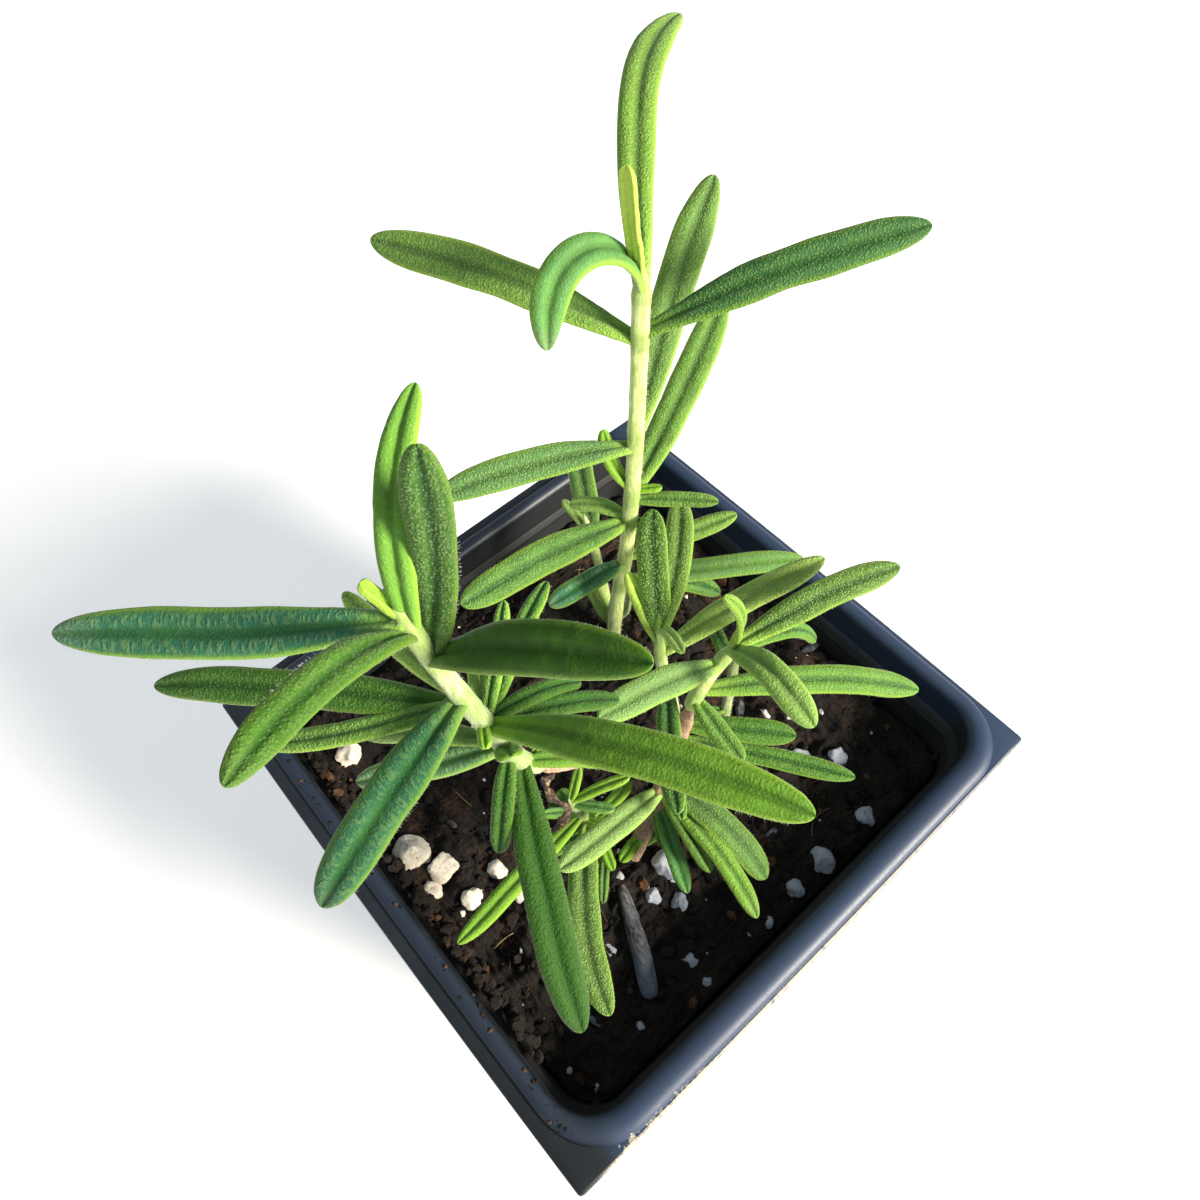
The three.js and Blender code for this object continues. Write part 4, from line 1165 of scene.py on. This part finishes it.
# The upper face is green from dark to light, with a groove, a crown on either side of it and a margin.
# The lower one is paler, with a midrib. Each leaf's look and shade set how strong each colour is.
def leafFinish():
    finish = Finish("leafFinish", blade["paints"])
    along, across, face = finish.mark("blade")
    tone, yellow, blue = finish.mark("look")
    ribbing, purple, grainy = finish.mark("trait")
    way, width = finish.mark("place")[:2]
    shade, grooved = finish.mark("shade")[:2]
    side = abs(across)
    patches = finish.noise(3.5, 2, 0.5)
    felt = finish.noise(0.2, 3, 0.6)
    dots = 1 - (finish.cells(0.3) + (felt - 0.5) * 0.9).step(0.1, 0.6)
    flat = finish.add("ShaderNodeCombineXYZ", {}, {0: along * 2.6, 1: across * width * 0.5, 2: width})
    streaks = finish.add("ShaderNodeTexNoise", {}, {"Vector": flat, "Scale": 1.0, "Detail": 3.0})
    ribs = streaks.step(0.44, 0.62)
    crown = side.step(0.12, 0.35) * (1 - side.step(0.62, 0.88))
    groove = 1 - (side + (felt - 0.5) * 0.15).step(0.06, 0.3)
    margin = (side + (felt - 0.5) * 0.25).step(0.72, 0.98)
    sparkle = finish.noise(0.12, 1).step(0.66, 0.76) * patches.step(0.4, 0.6)
    tip = (way + (felt - 0.5) * 0.1).step(0.84, 0.97)
    # Painted highlight: the crowns are lighter.
    above = finish.blend("dark", "light", (tone + (patches - 0.5) * 0.9 + crown * 0.25).step(0.0, 1.1))
    # Painted light: more yellow at the margin, as light shining through it.
    above = above.under("yellow", yellow * (0.4 + margin * 0.4))
    # Painted sky reflection: the blue is stronger on the crowns.
    above = above.under("blue", blue * (0.5 + crown * 0.45))
    # Painted shade: the groove is darker.
    above = above.under("groove", groove * grooved * 0.75)
    # Painted shade: the hollows between the raised grains are darker.
    above = above.under("pits", (1 - dots) * grainy * 0.65)
    above = above.under("grains", dots * felt * grainy * 0.95)
    above = above.under("ribs", ribs * crown * (0.04 + ribbing * 0.25))
    # Painted light: the thin margin glows yellow-green as if light shone through it.
    above = above.under("margin", margin * (0.4 + felt * 0.3))
    above = above.under("foot", (1 - way.step(0.0, 0.2)) * 0.55)
    above = above.under("sparkle", sparkle * grainy.step(0.4, 1.0) * 0.7)
    above = above.under("tip", tip * purple)
    below = finish.blend("below", "belowLight", felt.step(0.35, 0.65))
    below = below.under("midrib", 1 - side.step(0.05, 0.2))
    below = below.under("belowYellow", yellow * 0.85)
    # Painted shade below 0 and painted light above 0: each leaf's shade makes it deeper green or paler.
    tint = below.under(above, face.step(0.3, 0.75)).under("deep", shade * -1.6)
    tint = tint.under(finish.blend("pale", "lime", yellow * 0.6), shade * 0.9)
    height = dots * (0.15 + 1.15 * grainy) + felt * (0.35 + 0.5 * grainy) + ribs * crown * ribbing * 0.7
    return finish.done({
        "Base Color": tint, "Roughness": 0.5 + felt * 0.25, "Specular IOR Level": 0.25,
        "Subsurface Weight": 0.15, "Subsurface Radius": (0.4, 1.0, 0.1), "Subsurface Scale": 0.0006,
        "Sheen Weight": 0.1, "Sheen Roughness": 0.4, "Normal": finish.bump(height, 0.14, 1.0)})


# Stems, green and woody. A swell makes the wood's nodes larger than the green ones.
stalk = {
    "ringStep": 0.35, "around": 22, "squareness": 0.05, "nodeSwell": 0.07, "nodeReach": 1.3, "nodeMost": 1.3,
    "rough": 0.05, "roughSize": 1.1, "budEnd": 3.5, "overlap": 0.3, "seed": 70,
    "woodSeed": 80, "woodSwell": 1.6,
    "paints": {"green": "b0c95c", "greenLight": "dfeb9e", "cream": "93a967", "creamLight": "cbd6a0",
               "pink": "8f6a4f", "pinkLight": "cdb094", "node": "7fa33c", "down": "eef2dc"},
    "woodPaints": {"dark": "97735a", "light": "d6b296", "crack": "5f4433", "pale": "e3cfb8"},
}


# A stretch of stem: a tube that tapers evenly, a little four-sided, swollen where leaves stand, and
# rounded off at its end by the root of a falling share.
def stemShape(curve, fromRun, toRun, radii, heights, tints, seed, swell=1.0):
    count = max(8, int((toRun - fromRun) / stalk["ringStep"]))
    way = np.linspace(0, 1, count)
    runs = between((fromRun, toRun), way)
    centres = pointsAt(curve, runs)
    angle = np.linspace(0, fullTurn, stalk["around"], endpoint=False)
    near = sum([bell(centres[:, 2], z, stalk["nodeReach"]) for z in heights], 0 * way)
    near = np.clip(near, 0, stalk["nodeMost"])
    end = np.sqrt(np.clip((toRun - runs) / stalk["budEnd"], 0.03, 1))
    shape = 1 + stalk["squareness"] * np.cos(4 * angle)[None] + (swell * stalk["nodeSwell"] * near)[:, None]
    field = joined(runs[:, None], 1.5 * np.cos(angle)[None], 1.5 * np.sin(angle)[None])
    shape = shape + stalk["rough"] * noiseAt(field, stalk["roughSize"], seed)
    marks = {"stalk": joined(near, between(tints, way), 0.0)[:, None]}
    return tubeShape(centres, (between(radii, way) * end)[:, None] * shape, stalk["around"], marks=marks)


# Streaks along the stem, in three pairs of colours that follow its tint.
def stemFinish():
    finish = Finish("stemFinish", stalk["paints"])
    node, tint = finish.mark("stalk")[:2]
    streaks = finish.noise(0.3, 4, 0.6, finish.stretch(1, 1, 0.14))
    felt = finish.noise(0.14, 3, 0.6)
    tone = finish.blend("green", "greenLight", streaks.step(0.35, 0.62))
    tone = tone.under(finish.blend("cream", "creamLight", streaks.step(0.35, 0.6)), tint.step(0.1, 0.5))
    tone = tone.under(finish.blend("pink", "pinkLight", streaks.step(0.36, 0.64)), tint.step(0.55, 0.9))
    # Painted shade: darker green at the nodes, where the leaves stand over the stem.
    tone = tone.under("node", node * 0.5).under("down", felt.step(0.55, 0.7) * 0.45)
    return finish.done({"Base Color": tone, "Roughness": 0.6, "Sheen Weight": 0.3, "Sheen Roughness": 0.4,
                        "Normal": finish.bump(streaks + felt * 0.6, 0.1, 0.7)})


# Pinkish brown grain along the wood, with darker cracks and pale spots.
def woodFinish():
    finish = Finish("woodFinish", stalk["woodPaints"])
    grain = finish.noise(0.28, 5, 0.7, finish.stretch(1, 1, 0.18))
    plates = finish.noise(1.3, 4, 0.6, finish.stretch(1, 1, 0.5))
    tone = finish.blend("dark", "light", grain.step(0.34, 0.62))
    tone = tone.under("crack", plates.step(0.6, 0.74) * 0.45)
    tone = tone.under("pale", finish.noise(0.5, 3).step(0.6, 0.75) * 0.5)
    return finish.done({"Base Color": tone, "Roughness": 0.78, "Specular IOR Level": 0.3,
                        "Normal": finish.bump(grain + plates, 0.25, 0.8)})


hair = {
    "stemEach": 26, "leafEach": 3.0, "length": 0.42, "thickness": 0.03, "lengths": (0.5, 1.2), "stray": 0.35,
    "sunk": 0.08, "topGap": 0.5, "reach": 0.3, "upwards": 0.3,
    "leafWays": (0.1, 0.99), "inset": 0.97, "below": 0.15, "droop": 0.5,
    "leafLength": 0.6, "leafThickness": 0.8, "seed": 17,
    "paints": {"shadow": "e9edd6", "light": "fbfbf4"},
}


# Hairs: each is a three-sided needle, from a small triangle at its root to its point.
def hairShape(roots, ways, length, thickness, random):
    count = len(roots)
    ways = unit(ways + random.normal(0, hair["stray"], ways.shape))
    side = unit(np.cross(ways, unit(random.normal(0, 1, ways.shape))))
    other = np.cross(ways, side)
    angles = np.arange(3) * fullTurn / 3
    ring = side[:, None] * np.cos(angles)[:, None] + other[:, None] * np.sin(angles)[:, None]
    base = roots[:, None] + ring * thickness / 2 - ways[:, None] * hair["sunk"]
    tips = roots + ways * (length * random.uniform(*hair["lengths"], (count, 1)))
    points = np.concatenate([base, tips[:, None]], axis=1)
    pattern = np.array([[0, 1, 3], [1, 2, 3], [2, 0, 3], [0, 2, 1]])
    faces = (pattern[None] + 4 * np.arange(count)[:, None, None]).reshape(-1, 3)
    return makeShape(points, [faces])


# Hairs all round a stem: random runs and angles, each hair pointing away from the middle line.
def stemHairs(curve, fromRun, toRun, radii, random):
    count = int((toRun - fromRun) * hair["stemEach"])
    runs = np.sort(random.uniform(fromRun, toRun - hair["topGap"], count))
    centres = pointsAt(curve, runs)
    along = unit(pointsAt(curve, runs + hair["reach"]) - pointsAt(curve, runs - hair["reach"]))
    right = unit(np.array([1.0, 0, 0]) - along * along[:, :1])
    up = np.cross(along, right)
    angle = random.uniform(0, fullTurn, (count, 1))
    out = right * np.cos(angle) + up * np.sin(angle)
    radius = between(radii, ((runs - fromRun) / (toRun - fromRun))[:, None])
    ways = out + hair["upwards"] * along
    return hairShape(centres + out * radius, ways, hair["length"], hair["thickness"], random)


# Hairs along both margins of a leaf: they point outwards and down.
def leafHairs(foot, row, random):
    length, width = row[3:5]
    count = int(length * 2 * hair["leafEach"])
    way = random.uniform(*hair["leafWays"], count)
    across, up = bladeAxes(row, way)[1:]
    side = np.sign(random.uniform(-1, 1, (count, 1)))
    reach = (width / 2 * bladeWidth(way, looks[row[8]][6]))[:, None] * hair["inset"]
    roots = bladeLine(foot, row, way) + across * side * reach - up * hair["below"]
    return hairShape(roots, across * side - hair["droop"] * up, hair["leafLength"] * hair["length"],
                     hair["leafThickness"] * hair["thickness"], random)


# White down that lets a little light through.
def hairFinish():
    finish = Finish("hairFinish", hair["paints"])
    return finish.done({"Base Color": finish.blend("shadow", "light", finish.noise(0.6, 2)),
                        "Roughness": 0.5, "Alpha": 0.8})


# The dead leaf is a dry ribbon that winds down from the left limb.
deadLeaf = {
    "line": [[12.4, -18.6, 119], [12.7, -18.4, 117.5], [12.3, -19.8, 115], [13.5, -19.7, 111.8],
             [14.6, -18.9, 109.5], [14.7, -19.7, 107], [14, -21.6, 104]],
    "width": 0.68, "thickness": 0.22, "turns": 1.8, "steps": 130, "around": 20, "endPower": 6,
    "crumple": 0.3, "crumpleSize": 0.8, "seed": 4,
    "paints": {"dark": "20140d", "light": "6e5138", "straw": "c4ad8b"},
}


# The ribbon: an ellipse at each step, turned further along it, crumpled by noise and narrowed to its ends.
def deadShape():
    curve = splineThrough(deadLeaf["line"])
    way = np.linspace(0, 1, deadLeaf["steps"])[:, None]
    centres = pointsAt(curve, way[:, 0] * curve[1][-1])
    angle = np.linspace(0, fullTurn, deadLeaf["around"], endpoint=False)[None]
    turned = angle - fullTurn * deadLeaf["turns"] * way
    wide, thin = deadLeaf["width"], deadLeaf["thickness"]
    radii = wide * thin / np.hypot(thin * np.cos(turned), wide * np.sin(turned))
    field = joined(way * 14, np.cos(angle), np.sin(angle))
    ends = np.sqrt(np.clip(1 - np.abs(2 * way - 1) ** deadLeaf["endPower"], 0.02, 1))
    crumples = 1 + deadLeaf["crumple"] * noiseAt(field, deadLeaf["crumpleSize"], deadLeaf["seed"])
    return tubeShape(centres, radii * ends * crumples, deadLeaf["around"])


# Dark brown wrinkles with straw-coloured patches.
def deadFinish():
    finish = Finish("deadFinish", deadLeaf["paints"])
    wrinkles = finish.noise(0.35, 4, 0.65)
    tone = finish.blend("dark", "light", wrinkles.step(0.42, 0.66))
    tone = tone.under("straw", finish.noise(0.8, 3).step(0.56, 0.68) * 0.8)
    return finish.done({"Base Color": tone, "Roughness": 0.75, "Normal": finish.bump(wrinkles, 0.3, 0.9)})


leafMaterial = leafFinish()
stemMaterial = stemFinish()
woodMaterial = woodFinish()
hairMaterial = hairFinish()
plantRandom = np.random.default_rng(hair["seed"])
woodStems = []
woodLeaves = []
woodHairs = []
for name, shoot in plant.items():
    curve = splineThrough(shoot["line"])
    endRun = curve[1][-1]
    isLimb = "woodTop" in shoot
    startRun = runAtHeight(curve, shoot["woodTop"]) - stalk["overlap"] if isLimb else 0.0
    rows = shoot["leaves"] + [nubRow(nub) for nub in shoot["nubs"]]
    feet = [pointsAt(curve, runAtHeight(curve, row[0])) for row in rows]
    leaves = [leafShape(foot, row, plantRandom) for foot, row in zip(feet, rows)]
    heights = [row[0] for row in shoot["leaves"]]
    stem = stemShape(curve, startRun, endRun, shoot["radii"], heights, shoot["tint"], stalk["seed"])
    hairs = [stemHairs(curve, startRun, endRun, shoot["radii"], plantRandom)]
    hairs += [leafHairs(foot, row, plantRandom) for foot, row in zip(feet, rows)]
    node = [f"{name}_shoot"]
    addPiece(f"{name}_leaves", mergeShapes(leaves), leafMaterial, node)
    addPiece(f"{name}_stem", stem, stemMaterial, node)
    addPiece(f"{name}_hairs", mergeShapes(hairs), hairMaterial, node)
    if isLimb:
        heights = [row[0] for row in shoot["woodLeaves"]]
        woodEnd = startRun + stalk["overlap"]
        woodStems.append(stemShape(curve, 0, woodEnd, shoot["woodRadii"], heights, (1, 1),
                                   stalk["woodSeed"], stalk["woodSwell"]))
        for row in shoot["woodLeaves"]:
            foot = pointsAt(curve, runAtHeight(curve, row[0]))
            woodLeaves.append(leafShape(foot, row, plantRandom))
            woodHairs.append(leafHairs(foot, row, plantRandom))
    print(name, "shoot:", len(rows), "leaves and nubs")

addPiece("woody_limbs", mergeShapes(woodStems), woodMaterial, ["woody_stem"])
addPiece("woody_leaves", mergeShapes(woodLeaves), leafMaterial, ["woody_stem"])
addPiece("woody_hairs", mergeShapes(woodHairs), hairMaterial, ["woody_stem"])
addPiece("dead_leaf", deadShape(), deadFinish(), ["woody_stem"])
print("woody stem")
